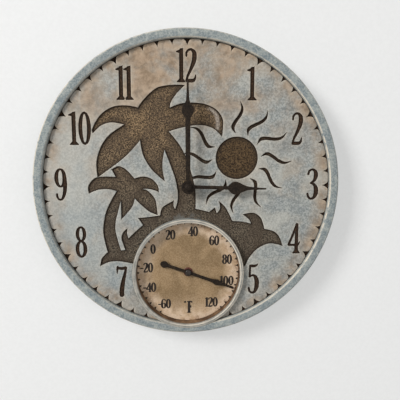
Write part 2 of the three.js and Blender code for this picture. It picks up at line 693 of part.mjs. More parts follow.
function artTools() {
  const floor = DIAL_FRONT - ART_DEPTH;
  const outlines = [TALL_PALM, SMALL_PALM, ISLAND];
  const tools = outlines.map((edges) => prism(edgedOutline(edges), floor, CASE_DEPTH));
  tools.push(rod(SUN_RADIUS, floor, CASE_DEPTH, SUN_AT, ROUND_STEPS));
  for (let i = 0; i < RAY_COUNT; i += 1) {
    if (i !== RAY_LEFT_OUT) {
      tools.push(rayTool(floor, RAY_FIRST_DEGREES - (360 * i) / RAY_COUNT));
    }
  }
  const scale = RIM_INNER_RADIUS / SCENE_DIAL_RADIUS;
  return tools.map((tool) => tool.scale([scale, scale, 1]));
}

function screwPlaces() {
  return [-1, 1].map((side) => [(side * HANGER_SCREW_SPACING) / 2, HANGER_HEIGHT]);
}

function hangerBosses() {
  const radius = SCREW_RADIUS + BOSS_WALL;
  const top = DIAL_REAR + DIAL_THICKNESS / 2;
  return screwPlaces().map((at) => rod(radius, BOSS_LEVEL, top, at, SMALL_STEPS));
}

function hangerPilotHoles() {
  const radius = SCREW_RADIUS + RUNNING_GAP;
  const end = SCREW_TIP_LEVEL + SEAT_GAP;
  return screwPlaces().map((at) => rod(radius, 0, end, at, SMALL_STEPS));
}

function caseShell() {
  const pocketRadius = GAUGE_RING_RADIUS - GAUGE_RING_WIDTH / 2;
  const pocketAt = [0, -GAUGE_DROP];
  const pocket = rod(pocketRadius, 0, GAUGE_RING_FRONT + CUT_MARGIN, pocketAt, GAUGE_STEPS);
  const bushHole = rod(BUSH_RADIUS + RUNNING_GAP, 0, CASE_DEPTH);
  const plain = cut(caseBlank(), ...artTools(), ...markTools(), pocket, bushHole);
  const whole = join(plain, gaugeWell(), ...hangerBosses());
  return cut(whole, ...hangerPilotHoles());
}

function buildCase() {
  addPiece(clock, "case_shell", "stone", caseShell());
}

// Hanger and its screws
function keyhole() {
  const low = HANGER_HEIGHT - KEYHOLE_TRAVEL / 2;
  const high = HANGER_HEIGHT + KEYHOLE_TRAVEL / 2;
  const from = HANGER_LEVEL - CUT_MARGIN;
  const to = HANGER_LEVEL + HANGER_THICKNESS + CUT_MARGIN;
  return join(
    rod(KEYHOLE_RADIUS, from, to, [0, low]),
    rod(KEYHOLE_SLOT_RADIUS, from, to, [0, high], SMALL_STEPS),
    block(-KEYHOLE_SLOT_RADIUS, KEYHOLE_SLOT_RADIUS, low, high, from, to),
  );
}

function hangerOutline() {
  const halfWidth = HANGER_WIDTH / 2 - HANGER_CORNER;
  const halfStrip = HANGER_STRIP / 2 - HANGER_CORNER;
  const shape = new THREE.Shape();
  const corners = [
    [1, 1, 0],
    [-1, 1, 90],
    [-1, -1, 180],
    [1, -1, 270],
  ];
  for (const [sideX, sideY, from] of corners) {
    const x = sideX * halfWidth;
    const y = HANGER_HEIGHT + sideY * halfStrip;
    shape.absarc(x, y, HANGER_CORNER, radians(from), radians(from + 90));
  }
  return shape;
}

function hangerPlate() {
  const blank = prism(hangerOutline(), HANGER_LEVEL, HANGER_LEVEL + HANGER_THICKNESS);
  const holeRadius = SCREW_RADIUS + SEAT_GAP;
  const holes = screwPlaces().map((at) => rod(holeRadius, 0, DIAL_REAR, at, SMALL_STEPS));
  return cut(blank, keyhole(), ...holes);
}

function hangerScrew() {
  const headTop = SCREW_HEAD_CLEARANCE + SCREW_HEAD_HEIGHT;
  return revolve(
    [
      [0, SCREW_HEAD_CLEARANCE],
      [SCREW_CROWN_RADIUS, SCREW_HEAD_CLEARANCE],
      [SCREW_HEAD_RADIUS, headTop - SCREW_HEAD_EDGE],
      [SCREW_HEAD_RADIUS, headTop],
      [SCREW_RADIUS, headTop],
      [SCREW_RADIUS, SCREW_TIP_LEVEL - SCREW_RADIUS],
      [0, SCREW_TIP_LEVEL],
    ],
    SMALL_STEPS,
  );
}

function buildHanger() {
  addPiece(clock, "hanger_plate", "steel", hangerPlate());
  const names = ["hanger_screw_left", "hanger_screw_right"];
  screwPlaces().forEach((at, i) => addPiece(clock, names[i], "steel", hangerScrew(), at));
}

// Thermometer
function spiralPoints(offset) {
  const steps = Math.round(BIMETAL_TURNS * COIL_STEPS);
  return Array.from({ length: steps + 1 }, (_, i) => {
    const turns = (BIMETAL_TURNS * i) / steps;
    return onCircle(BIMETAL_INNER_RADIUS + BIMETAL_PITCH * turns + offset, 360 * turns);
  });
}

function bimetalOuterEnd() {
  return [BIMETAL_INNER_RADIUS + BIMETAL_PITCH * BIMETAL_TURNS, 360 * BIMETAL_TURNS];
}

function bimetalCoil() {
  const outer = spiralPoints(BIMETAL_STRIP / 2);
  const inner = spiralPoints(-BIMETAL_STRIP / 2).reverse();
  return prism(polygon([...outer, ...inner]), BIMETAL_LEVEL, BIMETAL_LEVEL + BIMETAL_WIDTH);
}

// A strap across the cup that carries the shaft's rear end, with a post that holds the coil's outer end.
function coilBridge() {
  const half = CUP_INNER_RADIUS - SEAT_GAP;
  const top = BRIDGE_LEVEL + BRIDGE_THICKNESS;
  const halfWidth = BRIDGE_WIDTH / 2;
  const strap = block(-half, half, -halfWidth, halfWidth, BRIDGE_LEVEL, top);
  const round = rod(half, BRIDGE_LEVEL, top);
  const [radius, degrees] = bimetalOuterEnd();
  const near = radius + BIMETAL_STRIP / 2 + SEAT_GAP;
  const postHalf = BRIDGE_POST / 2;
  const postTop = BIMETAL_LEVEL + BIMETAL_WIDTH;
  const post = block(near, near + BRIDGE_POST, -postHalf, postHalf, BRIDGE_LEVEL, postTop);
  const bearing = rod(EYELET_BORE, 0, DIAL_REAR, MIDDLE, SMALL_STEPS);
  return cut(join(strap.intersect(round), post), bearing).rotate([0, 0, degrees]);
}

function thermometerCup() {
  const outer = CUP_INNER_RADIUS + CUP_WALL;
  return revolve([
    [0, CUP_REAR],
    [outer, CUP_REAR],
    [outer, CUP_FRONT - CUP_WALL],
    [outer + CUP_FLANGE_WIDTH, CUP_FRONT - CUP_WALL],
    [outer + CUP_FLANGE_WIDTH, CUP_FRONT],
    [CUP_INNER_RADIUS, CUP_FRONT],
    [CUP_INNER_RADIUS, CUP_REAR + CUP_WALL],
    [0, CUP_REAR + CUP_WALL],
  ]);
}

function thermometerShaft() {
  const tip = POINTER_CAP_LEVEL + POINTER_CAP_HEIGHT / 2;
  return revolve(
    [
      [0, BRIDGE_LEVEL],
      [GAUGE_SHAFT_RADIUS, BRIDGE_LEVEL],
      [GAUGE_SHAFT_RADIUS, BIMETAL_LEVEL],
      [BIMETAL_HUB_RADIUS, BIMETAL_LEVEL],
      [BIMETAL_HUB_RADIUS, BIMETAL_LEVEL + BIMETAL_WIDTH],
      [GAUGE_SHAFT_RADIUS, BIMETAL_LEVEL + BIMETAL_WIDTH],
      [GAUGE_SHAFT_RADIUS, tip],
      [0, tip],
    ],
    SMALL_STEPS,
  );
}

function thermometerEyelet() {
  const foot = GAUGE_FLOOR_FRONT;
  const seat = GAUGE_DIAL_FRONT + SEAT_GAP;
  return revolve(
    [
      [EYELET_BORE, foot],
      [EYELET_RADIUS, foot],
      [EYELET_RADIUS, seat],
      [EYELET_FLANGE_RADIUS, seat],
      [EYELET_FLANGE_RADIUS, seat + EYELET_FLANGE / 2],
      [EYELET_RADIUS, seat + EYELET_FLANGE],
      [EYELET_BORE, seat + EYELET_FLANGE],
    ],
    SMALL_STEPS,
  );
}

function thermometerPointer() {
  const top = POINTER_LEVEL + POINTER_THICKNESS;
  const stem = POINTER_STEM_WIDTH / 2;
  const eyeAt = [-POINTER_TAIL, 0];
  const plain = join(
    prism(bladeOutline(POINTER_STATIONS, POINTER_REACH), POINTER_LEVEL, top),
    block(-POINTER_TAIL, 0, -stem, stem, POINTER_LEVEL, top),
    rod(POINTER_HUB_RADIUS, POINTER_LEVEL, top),
    rod(POINTER_EYE_RADIUS, POINTER_LEVEL, top, eyeAt),
  );
  const shaftHole = rod(GAUGE_SHAFT_RADIUS + RUNNING_GAP, 0, CASE_DEPTH, MIDDLE, SMALL_STEPS);
  return cut(plain, rod(POINTER_EYE_HOLE, 0, CASE_DEPTH, eyeAt, SMALL_STEPS), shaftHole);
}

// A round cap with a domed roof and a blind bore.
function domedCap(radius, bore, low, height, roof) {
  const high = low + height;
  const shoulder = high - height / 2;
  const dome = Array.from({ length: CORNER_STEPS + 1 }, (_, i) => {
    const angle = ((i / (CORNER_STEPS + 1)) * Math.PI) / 2;
    return [radius * Math.cos(angle), shoulder + (height / 2) * Math.sin(angle)];
  });
  return revolve([
    [bore, low],
    [radius, low],
    ...dome,
    [0, high],
    [0, high - roof],
    [bore, high - roof],
  ]);
}

function thermometerDial() {
  const radius = GAUGE_POCKET_RADIUS - SEAT_GAP;
  const disc = rod(radius, GAUGE_DIAL_REAR, GAUGE_DIAL_FRONT, MIDDLE, GAUGE_STEPS);
  return cut(disc, rod(EYELET_RADIUS + RUNNING_GAP, 0, CASE_DEPTH, MIDDLE, SMALL_STEPS));
}

function pointerCap() {
  const bore = GAUGE_SHAFT_RADIUS + RUNNING_GAP;
  const roof = POINTER_CAP_HEIGHT / 2 - RUNNING_GAP;
  return domedCap(POINTER_CAP_RADIUS, bore, POINTER_CAP_LEVEL, POINTER_CAP_HEIGHT, roof);
}

function buildThermometer() {
  addPiece(gauge, "thermometer_dial", "dial_tan", thermometerDial());
  addPiece(gauge, "thermometer_eyelet", "brass", thermometerEyelet());
  addPiece(gauge, "thermometer_cup", "steel", thermometerCup());
  addPiece(gauge, "coil_bridge", "brass", coilBridge());
  addPiece(gauge, "bimetal_coil", "bimetal", bimetalCoil());
  addPiece(gauge, "thermometer_shaft", "steel", thermometerShaft());
  const pointer = thermometerPointer();
  addPiece(gauge, "thermometer_pointer", "bronze_black", pointer, MIDDLE, POINTER_REST_DEGREES);
  addPiece(gauge, "pointer_cap", "black_plastic", pointerCap());
}

// Covers and plates of the movement
function pillarPlaces() {
  const side = MOVEMENT_HALF - PILLAR_INSET;
  return [
    [-side, side],
    [side, side],
    [side, DIVIDER_TOP + LOW_PILLAR_LIFT],
  ];
}

function trainWalls(low, high) {
  const from = low - CUT_MARGIN;
  const to = high + CUT_MARGIN;
  const edge = MOVEMENT_HALF + CUT_MARGIN;
  const outer = prism(roundedSquare(MOVEMENT_HALF, MOVEMENT_CORNER), low, high);
  const innerShape = roundedSquare(MOVEMENT_HALF - MOVEMENT_WALL, MOVEMENT_CORNER - MOVEMENT_WALL);
  const inner = prism(innerShape, from, to);
  const bayArea = block(-edge, edge, -edge, DIVIDER_TOP, from, to);
  return cut(outer, inner, bayArea);
}

// The tub that holds the battery, with its mouth at the rear.
function batteryTub() {
  const edge = MOVEMENT_HALF + CUT_MARGIN;
  const outer = prism(roundedSquare(MOVEMENT_HALF, MOVEMENT_CORNER), 0, BAY_DEPTH);
  const above = block(-edge, edge, DIVIDER_TOP, edge, -CUT_MARGIN, MOVEMENT_DEPTH);
  return cut(outer, above);
}

function batteryBay() {
  return block(
    -BAY_HALF_LENGTH,
    BAY_HALF_LENGTH,
    BAY_BOTTOM,
    BAY_TOP,
    -CUT_MARGIN,
    BAY_DEPTH - BAY_FLOOR,
  );
}

// Slots in the wall above the bay, where the contacts pass to the circuit board.
function contactSlot(side) {
  const wall = side * BAY_HALF_LENGTH;
  const inside = wall - side * (2 * SEAT_GAP + CONTACT_TAB_WIDTH);
  return block(
    Math.min(wall, inside),
    Math.max(wall, inside),
    BAY_TOP - CUT_MARGIN,
    DIVIDER_TOP + CUT_MARGIN,
    CONTACT_TAB_LEVEL - SEAT_GAP,
    CONTACT_TAB_LEVEL + CONTACT_THICKNESS + SEAT_GAP,
  );
}

function rearBearings() {
  const top = REAR_PLATE + CUT_MARGIN;
  const floor = ARBOR_REAR - RUNNING_GAP;
  const radius = ARBOR_RADIUS + RUNNING_GAP;
  const places = [MIDDLE, THIRD_AT, FIFTH_AT, ROTOR_AT];
  const blind = places.map((at) => rod(radius, floor, top, at, SMALL_STEPS));
  const knobHole = rod(SET_ARBOR_RADIUS + RUNNING_GAP, -CUT_MARGIN, top, MINUTE_WHEEL_AT, SMALL_STEPS);
  return [...blind, knobHole];
}

function boardPosts() {
  const x = BOARD_LEFT + BOARD_WIDTH / 2;
  const ends = [BOARD_BOTTOM + PILLAR_RADIUS, BOARD_BOTTOM + BOARD_LENGTH - PILLAR_RADIUS];
  return ends.map((y) => rod(PILLAR_RADIUS, 0, BOARD_LEVEL - SEAT_GAP, [x, y], SMALL_STEPS));
}

function movementRear() {
  const plate = prism(roundedSquare(MOVEMENT_HALF, MOVEMENT_CORNER), 0, REAR_PLATE);
  const pillars = pillarPlaces().map((at) =>
    rod(PILLAR_RADIUS, 0, MIDDLE_LEVEL - SEAT_GAP, at, SMALL_STEPS),
  );
  const whole = join(plate, trainWalls(0, CASE_SPLIT), batteryTub(), ...pillars, ...boardPosts());
  return cut(whole, batteryBay(), contactSlot(-1), contactSlot(1), ...rearBearings());
}

function movementFront() {
  const inner = MOVEMENT_DEPTH - FRONT_PLATE;
  const plate = prism(roundedSquare(MOVEMENT_HALF, MOVEMENT_CORNER), inner, MOVEMENT_DEPTH);
  const bush = rod(BUSH_RADIUS, inner, BUSH_END - MOVEMENT_LEVEL);
  const bore = rod(BUSH_BORE, 0, BUSH_END);
  const pivotRadius = ARBOR_RADIUS + RUNNING_GAP;
  const pivotEnd = inner + FRONT_PLATE / 2;
  const pivot = rod(pivotRadius, 0, pivotEnd, MINUTE_WHEEL_AT, SMALL_STEPS);
  return cut(join(plate, trainWalls(CASE_SPLIT + SEAT_GAP, MOVEMENT_DEPTH), bush), bore, pivot);
}

function middlePlate() {
  const side = MOVEMENT_HALF - MOVEMENT_WALL - SEAT_GAP;
  const high = MIDDLE_LEVEL + MIDDLE_PLATE;
  const corner = MOVEMENT_CORNER - MOVEMENT_WALL;
  const low = DIVIDER_TOP + SEAT_GAP;
  const square = prism(roundedSquare(side, corner), MIDDLE_LEVEL, high);
  const blank = square.intersect(block(-side, side, low, side, 0, MOVEMENT_DEPTH));
  const hole = (radius, at) => rod(radius + RUNNING_GAP, 0, MOVEMENT_DEPTH, at, SMALL_STEPS);
  const small = [THIRD_AT, FIFTH_AT, ROTOR_AT].map((at) => hole(ARBOR_RADIUS, at));
  const centre = rod(MINUTE_ARBOR_RADIUS + RUNNING_GAP, 0, MOVEMENT_DEPTH);
  return cut(blank, ...small, centre, hole(SET_ARBOR_RADIUS, MINUTE_WHEEL_AT));
}

// A wheel with its pinion in front of it, on one arbor. Heights are counted from the movement's rear face.
function arborWheel({ wheel, level, pinion, pinionEnd, from, to }) {
  const top = level + WHEEL_THICKNESS;
  return join(
    prism(wheel, level, top),
    prism(pinion, top - WHEEL_THICKNESS / 2, pinionEnd),
    rod(ARBOR_RADIUS, from, to, MIDDLE, SMALL_STEPS),
  );
}

const pinionEndAt = (level) => level + WHEEL_THICKNESS + PINION_OVERHANG;
const opposite = (degrees) => degrees + 180;

function buildTrain() {
  const fifth = arborWheel({
    wheel: wheelOutline(FIFTH_TEETH, MODULE_ROTOR, ROTOR_DIRECTION + halfTooth(FIFTH_TEETH)),
    level: FIFTH_LEVEL,
    pinion: pinionOutline(FIFTH_PINION_TEETH, MODULE_FIFTH, opposite(FIFTH_DIRECTION)),
    pinionEnd: pinionEndAt(SECONDS_LEVEL),
    from: ARBOR_REAR,
    to: ARBOR_FRONT,
  });
  addPiece(movement, "fifth_wheel", "white_nylon", fifth, FIFTH_AT);
  const seconds = arborWheel({
    wheel: wheelOutline(SECONDS_TEETH, MODULE_FIFTH, FIFTH_DIRECTION + halfTooth(SECONDS_TEETH)),
    level: SECONDS_LEVEL,
    pinion: pinionOutline(SECONDS_PINION_TEETH, MODULE_SECONDS, THIRD_DIRECTION),
    pinionEnd: pinionEndAt(THIRD_LEVEL),
    from: ARBOR_REAR,
    to: MOVEMENT_DEPTH,
  });
  addPiece(movement, "seconds_wheel", "white_nylon", seconds);
  const thirdDegrees = opposite(THIRD_DIRECTION);
  const third = arborWheel({
    wheel: wheelOutline(THIRD_TEETH, MODULE_SECONDS, thirdDegrees + halfTooth(THIRD_TEETH)),
    level: THIRD_LEVEL,
    pinion: pinionOutline(THIRD_PINION_TEETH, MODULE_THIRD, thirdDegrees),
    pinionEnd: pinionEndAt(CENTRE_LEVEL),
    from: ARBOR_REAR,
    to: ARBOR_FRONT,
  });
  addPiece(movement, "third_wheel", "white_nylon", third, THIRD_AT);
  const centreDegrees = THIRD_DIRECTION + halfTooth(CENTRE_TEETH);
  const centreOutline = wheelOutline(CENTRE_TEETH, MODULE_THIRD, centreDegrees);
  const centreBlank = prism(centreOutline, CENTRE_LEVEL, CENTRE_LEVEL + WHEEL_THICKNESS);
  const clutchHole = rod(MINUTE_ARBOR_RADIUS + RUNNING_GAP, 0, MOVEMENT_DEPTH);
  addPiece(movement, "centre_wheel", "brass", cut(centreBlank, clutchHole));
}

function buildRotor() {
  const top = MAGNET_LEVEL + MAGNET_LENGTH;
  const magnet = rod(MAGNET_RADIUS, MAGNET_LEVEL, top);
  const leaves = pinionOutline(ROTOR_TEETH, MODULE_ROTOR, opposite(ROTOR_DIRECTION));
  const pinion = prism(leaves, top - WHEEL_THICKNESS, pinionEndAt(FIFTH_LEVEL));
  const arbor = rod(ARBOR_RADIUS, ARBOR_REAR, ARBOR_FRONT, MIDDLE, SMALL_STEPS);
  addPiece(movement, "rotor", "magnet", join(magnet, pinion, arbor), ROTOR_AT);
}

// The cannon pinion with its arbor, which passes through the bush and carries the minute hand.
function minuteArbor() {
  const leaves = pinionOutline(CANNON_TEETH, MODULE_CANNON, MINUTE_DIRECTION);
  const shoulder = MINUTE_HAND_LEVEL - MOVEMENT_LEVEL - SEAT_GAP;
  const tip = CAP_LEVEL + CAP_HEIGHT - CAP_ROOF - RUNNING_GAP - MOVEMENT_LEVEL;
  const rear = pinionEndAt(THIRD_LEVEL) + SEAT_GAP;
  const arbor = join(
    prism(leaves, MINUTE_LEVEL - PINION_OVERHANG, pinionEndAt(MINUTE_LEVEL)),
    rod(MINUTE_ARBOR_RADIUS, rear, shoulder),
    rod(MINUTE_TIP_RADIUS, shoulder - CUT_MARGIN, tip, MIDDLE, SMALL_STEPS),
  );
  return cut(arbor, rod(MINUTE_ARBOR_BORE, 0, MOVEMENT_DEPTH + RUNNING_GAP, MIDDLE, SMALL_STEPS));
}

function minuteWheel() {
  const degrees = opposite(MINUTE_DIRECTION);
  const teeth = wheelOutline(MINUTE_WHEEL_TEETH, MODULE_CANNON, degrees + halfTooth(MINUTE_WHEEL_TEETH));
  const leaves = pinionOutline(MINUTE_PINION_TEETH, MODULE_HOUR, degrees);
  const top = MINUTE_LEVEL + WHEEL_THICKNESS;
  const pivotEnd = MOVEMENT_DEPTH - FRONT_PLATE / 2 - RUNNING_GAP;
  return join(
    prism(teeth, MINUTE_LEVEL, top),
    prism(leaves, top - WHEEL_THICKNESS / 2, pinionEndAt(HOUR_LEVEL)),
    rod(SET_ARBOR_RADIUS, -KNOB_THICKNESS, top, MIDDLE, SMALL_STEPS),
    rod(ARBOR_RADIUS, MINUTE_LEVEL, pivotEnd, MIDDLE, SMALL_STEPS),
  );
}

function hourWheel() {
  const degrees = MINUTE_DIRECTION + halfTooth(HOUR_TEETH);
  const teeth = wheelOutline(HOUR_TEETH, MODULE_HOUR, degrees);
  const plain = join(
    prism(teeth, HOUR_LEVEL, HOUR_LEVEL + WHEEL_THICKNESS),
    rod(HOUR_PIPE_RADIUS, HOUR_LEVEL, HOUR_PIPE_END - MOVEMENT_LEVEL),
  );
  return cut(plain, rod(HOUR_PIPE_BORE, 0, CLOCK_DEPTH));
}

// The wheels that drive the hour hand at a twelfth of the minute hand's speed.
function buildMotionWork() {
  addPiece(movement, "minute_arbor", "steel", minuteArbor());
  addPiece(movement, "minute_wheel", "white_nylon", minuteWheel(), MINUTE_WHEEL_AT);
  addPiece(movement, "hour_wheel", "white_nylon", hourWheel());
}

function knobOutline() {
  const points = [];
  for (let i = 0; i < KNOB_GRIPS; i += 1) {
    const degrees = (360 * i) / KNOB_GRIPS;
    points.push(onCircle(KNOB_RADIUS, degrees));
    points.push(onCircle(KNOB_RADIUS - KNOB_GRIP_DEPTH, degrees + halfTooth(KNOB_GRIPS)));
  }
  return polygon(points);
}

function buildKnob() {
  const rear = KNOB_LEVEL - MOVEMENT_LEVEL;
  const blank = prism(knobOutline(), rear, rear + KNOB_THICKNESS);
  const socketEnd = -KNOB_THICKNESS - RUNNING_GAP;
  const socket = rod(SET_ARBOR_RADIUS + RUNNING_GAP, socketEnd, CUT_MARGIN, MIDDLE, SMALL_STEPS);
  addPiece(movement, "set_knob", "black_plastic", cut(blank, socket), MINUTE_WHEEL_AT);
}

// Motor
function stator() {
  const high = STATOR_LEVEL + STATOR_THICKNESS;
  const rotorY = ROTOR_AT[1];
  const holeRadius = MAGNET_RADIUS + STATOR_GAP;
  const legHalf = STATOR_LEG_WIDTH / 2;
  const ring = rod(STATOR_RING_RADIUS, STATOR_LEVEL, high, ROTOR_AT);
  const bar = block(
    -STATOR_REACH - legHalf,
    STATOR_REACH + legHalf,
    rotorY,
    rotorY + STATOR_BAR_WIDTH,
    STATOR_LEVEL,
    high,
  );
  const legs = [-1, 1].map((side) => {
    const x = side * STATOR_REACH;
    const top = COIL_HEIGHT + legHalf;
    return block(x - legHalf, x + legHalf, rotorY, top, STATOR_LEVEL, high);
  });
  return cut(join(ring, bar, ...legs), rod(holeRadius, 0, MOVEMENT_DEPTH, ROTOR_AT));
}

// A rod along x, round the coil's core.
function coilRound(radius, x0, x1) {
  const geometry = new THREE.CylinderGeometry(radius, radius, x1 - x0, ROUND_STEPS);
  const placed = geometry.rotateZ(Math.PI / 2).translate((x0 + x1) / 2, COIL_HEIGHT, COIL_LEVEL);
  return toSolid(placed);
}

function coilBar(half, grow) {
  const width = COIL_CORE_WIDTH / 2 + grow;
  const thickness = COIL_CORE_THICKNESS / 2 + grow;
  return block(
    -half,
    half,
    COIL_HEIGHT - width,
    COIL_HEIGHT + width,
    COIL_LEVEL - thickness,
    COIL_LEVEL + thickness,
  );
}

function buildMotor() {
  addPiece(movement, "stator", "steel", stator());
  const halfCore = STATOR_REACH + STATOR_LEG_WIDTH / 2;
  const halfCoil = COIL_LENGTH / 2;
  addPiece(movement, "coil_core", "steel", coilBar(halfCore, 0));
  const spool = join(
    coilBar(halfCoil, RUNNING_GAP + COIL_SPOOL_WALL),
    coilRound(COIL_CHEEK_RADIUS, -halfCoil - COIL_CHEEK, -halfCoil),
    coilRound(COIL_CHEEK_RADIUS, halfCoil, halfCoil + COIL_CHEEK),
  );
  addPiece(movement, "coil_spool", "black_plastic", cut(spool, coilBar(MOVEMENT_HALF, RUNNING_GAP)));
  const windingHole = coilBar(MOVEMENT_HALF, 2 * RUNNING_GAP + COIL_SPOOL_WALL);
  const winding = coilRound(COIL_RADIUS, -halfCoil + RUNNING_GAP, halfCoil - RUNNING_GAP);
  addPiece(movement, "coil_winding", "copper", cut(winding, windingHole));
}

// Electronics
function buildElectronics() {
  const right = BOARD_LEFT + BOARD_WIDTH;
  const top = BOARD_BOTTOM + BOARD_LENGTH;
  const front = BOARD_LEVEL + BOARD_THICKNESS;
  const board = block(BOARD_LEFT, right, BOARD_BOTTOM, top, BOARD_LEVEL, front);
  addPiece(movement, "circuit_board", "board_green", board);
  const x = (BOARD_LEFT + right) / 2;
  const chipY = (BOARD_BOTTOM + top) / 2;
  const half = CHIP_SIDE / 2;
  const seat = front + SEAT_GAP;
  const chip = block(x - half, x + half, chipY - half, chipY + half, seat, seat + CHIP_HEIGHT);
  addPiece(movement, "chip", "black_plastic", chip);
  const can = new THREE.CylinderGeometry(CRYSTAL_RADIUS, CRYSTAL_RADIUS, CRYSTAL_LENGTH, SMALL_STEPS);
  can.translate(x, top - SEAT_GAP - CRYSTAL_LENGTH / 2, seat + CRYSTAL_RADIUS);
  addPiece(movement, "quartz_crystal", "steel", toSolid(can));
}

// Battery contacts. Each is a leaf at one end of the bay, with a tab through the wall above it.
function contactLeaf(side) {
  const near = side * (BAY_HALF_LENGTH - SEAT_GAP);
  const far = near - side * CONTACT_THICKNESS;
  const tabFar = near - side * CONTACT_TAB_WIDTH;
  const half = CONTACT_WIDTH / 2;
  const rear = BAY_DEPTH / 2 - half;
  const front = BAY_DEPTH / 2 + half;
  const top = BAY_TOP - SEAT_GAP;
  const tabLow = top - CONTACT_THICKNESS;
  const tabTop = DIVIDER_TOP + CONTACT_TAB_REACH;
  const tabHigh = CONTACT_TAB_LEVEL + CONTACT_THICKNESS;
  return join(
    block(Math.min(near, far), Math.max(near, far), BATTERY_Y - half, top, rear, front),
    block(Math.min(near, tabFar), Math.max(near, tabFar), tabLow, tabTop, CONTACT_TAB_LEVEL, tabHigh),
  );
}

function buildContacts() {
  addPiece(movement, "contact_plus", "steel", contactLeaf(1));
  const wall = -BAY_HALF_LENGTH + SEAT_GAP + CONTACT_THICKNESS / 2;
  const spring = new THREE.CylinderGeometry(
    CONTACT_SPRING_TIP,
    CONTACT_SPRING_RADIUS,
    CONTACT_SPRING_TRAVEL,
    SMALL_STEPS,
  );
  spring.rotateZ(-Math.PI / 2);
  spring.translate(wall + CONTACT_SPRING_TRAVEL / 2, BATTERY_Y, BATTERY_RADIUS);
  addPiece(movement, "contact_minus", "steel", join(contactLeaf(-1), toSolid(spring)));
}

function buildBattery() {
  const low = -BATTERY_LENGTH / 2;
  const body = BATTERY_LENGTH - BATTERY_NUB_LENGTH;
  const geometry = new THREE.LatheGeometry(
    [
      [0, 0],
      [BATTERY_RADIUS - BATTERY_EDGE_ROUND, 0],
      [BATTERY_RADIUS, BATTERY_EDGE_ROUND],
      [BATTERY_RADIUS, body - BATTERY_EDGE_ROUND],
      [BATTERY_RADIUS - BATTERY_EDGE_ROUND, body],
      [BATTERY_NUB_RADIUS, body],
      [BATTERY_NUB_RADIUS, BATTERY_LENGTH],
      [0, BATTERY_LENGTH],
    ].map(([r, y]) => new THREE.Vector2(r, y)),
    ROUND_STEPS,
  );
  geometry.translate(0, low, 0).rotateZ(-Math.PI / 2);
  const shift = CONTACT_SPRING_TRAVEL / 2;
  geometry.translate(shift, BATTERY_Y, BATTERY_RADIUS);
  addPiece(movement, "battery", "battery_sleeve", toSolid(geometry));
}

function buildMovement() {
  addPiece(movement, "movement_rear", "black_plastic", movementRear());
  addPiece(movement, "movement_front", "black_plastic", movementFront());
  addPiece(movement, "middle_plate", "white_nylon", middlePlate());
  buildTrain();
  buildRotor();
  buildMotionWork();
  buildKnob();
  buildMotor();
  buildElectronics();
  buildContacts();
  buildBattery();
}

// Fastening of the movement to the dial
function buildFasteners() {
  const hole = BUSH_RADIUS + RUNNING_GAP;
  const gasket = tube(GASKET_RADIUS, hole, GASKET_LEVEL, GASKET_LEVEL + GASKET_THICKNESS);
  addPiece(clock, "gasket", "rubber", gasket);
  const washer = tube(WASHER_RADIUS, hole, WASHER_LEVEL, WASHER_LEVEL + WASHER_THICKNESS);
  addPiece(clock, "washer", "brass", washer);
  const corner = NUT_ACROSS_FLATS / 2 / Math.cos(Math.PI / NUT_SIDES);
  const blank = rod(corner, NUT_LEVEL, NUT_LEVEL + NUT_THICKNESS, MIDDLE, NUT_SIDES);
  addPiece(clock, "hex_nut", "brass", cut(blank, rod(hole, 0, CLOCK_DEPTH)));
}

// Hands, each drawn along x and turned to its place
function hand(stations, reach, level, bore) {
  const top = level + HAND_THICKNESS;
  const blade = prism(bladeOutline(stations, reach), level, top);
  const plain = join(blade, rod(HAND_HUB_RADIUS, level, top));
  return cut(plain, rod(bore, 0, CLOCK_DEPTH, MIDDLE, SMALL_STEPS));
}

function buildHands() {
  const hourBore = HOUR_PIPE_RADIUS + RUNNING_GAP;
  const hourHand = hand(HOUR_STATIONS, HOUR_REACH, HOUR_HAND_LEVEL, hourBore);
  addPiece(clock, "hour_hand", "bronze_black", hourHand, MIDDLE, HOUR_REST_DEGREES);
  const minuteBore = MINUTE_TIP_RADIUS + RUNNING_GAP;
  const minuteHand = hand(MINUTE_STATIONS, MINUTE_REACH, MINUTE_HAND_LEVEL, minuteBore);
  addPiece(clock, "minute_hand", "bronze_black", minuteHand, MIDDLE, MINUTE_REST_DEGREES);
  const cap = domedCap(CAP_RADIUS, minuteBore, CAP_LEVEL, CAP_HEIGHT, CAP_ROOF);
  addPiece(clock, "cap_nut", "bronze_black", cap);
}

buildCase();
buildHanger();
buildThermometer();
buildMovement();
buildFasteners();
buildHands();

// Stand the clock up and put its origin in the middle of its depth.
clock.rotation.x = Math.PI / 2;
clock.position.y = CLOCK_DEPTH / 2;
const assembly = new THREE.Group();
assembly.add(clock);

export default assembly;
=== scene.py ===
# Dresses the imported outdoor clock: a relief-carved casting, its hands, the thermometer and the movement.
# Shapes are worked out in millimetres, x to the viewer's right, z up and y into the wall, and become
# metres where a mesh is made. "Inside distance" means how far a point lies within an outline.
import json
import math
from functools import cache, cached_property, reduce

import bpy
import numpy as np
from mathutils import Matrix, Vector
from mathutils.geometry import delaunay_2d_cdt


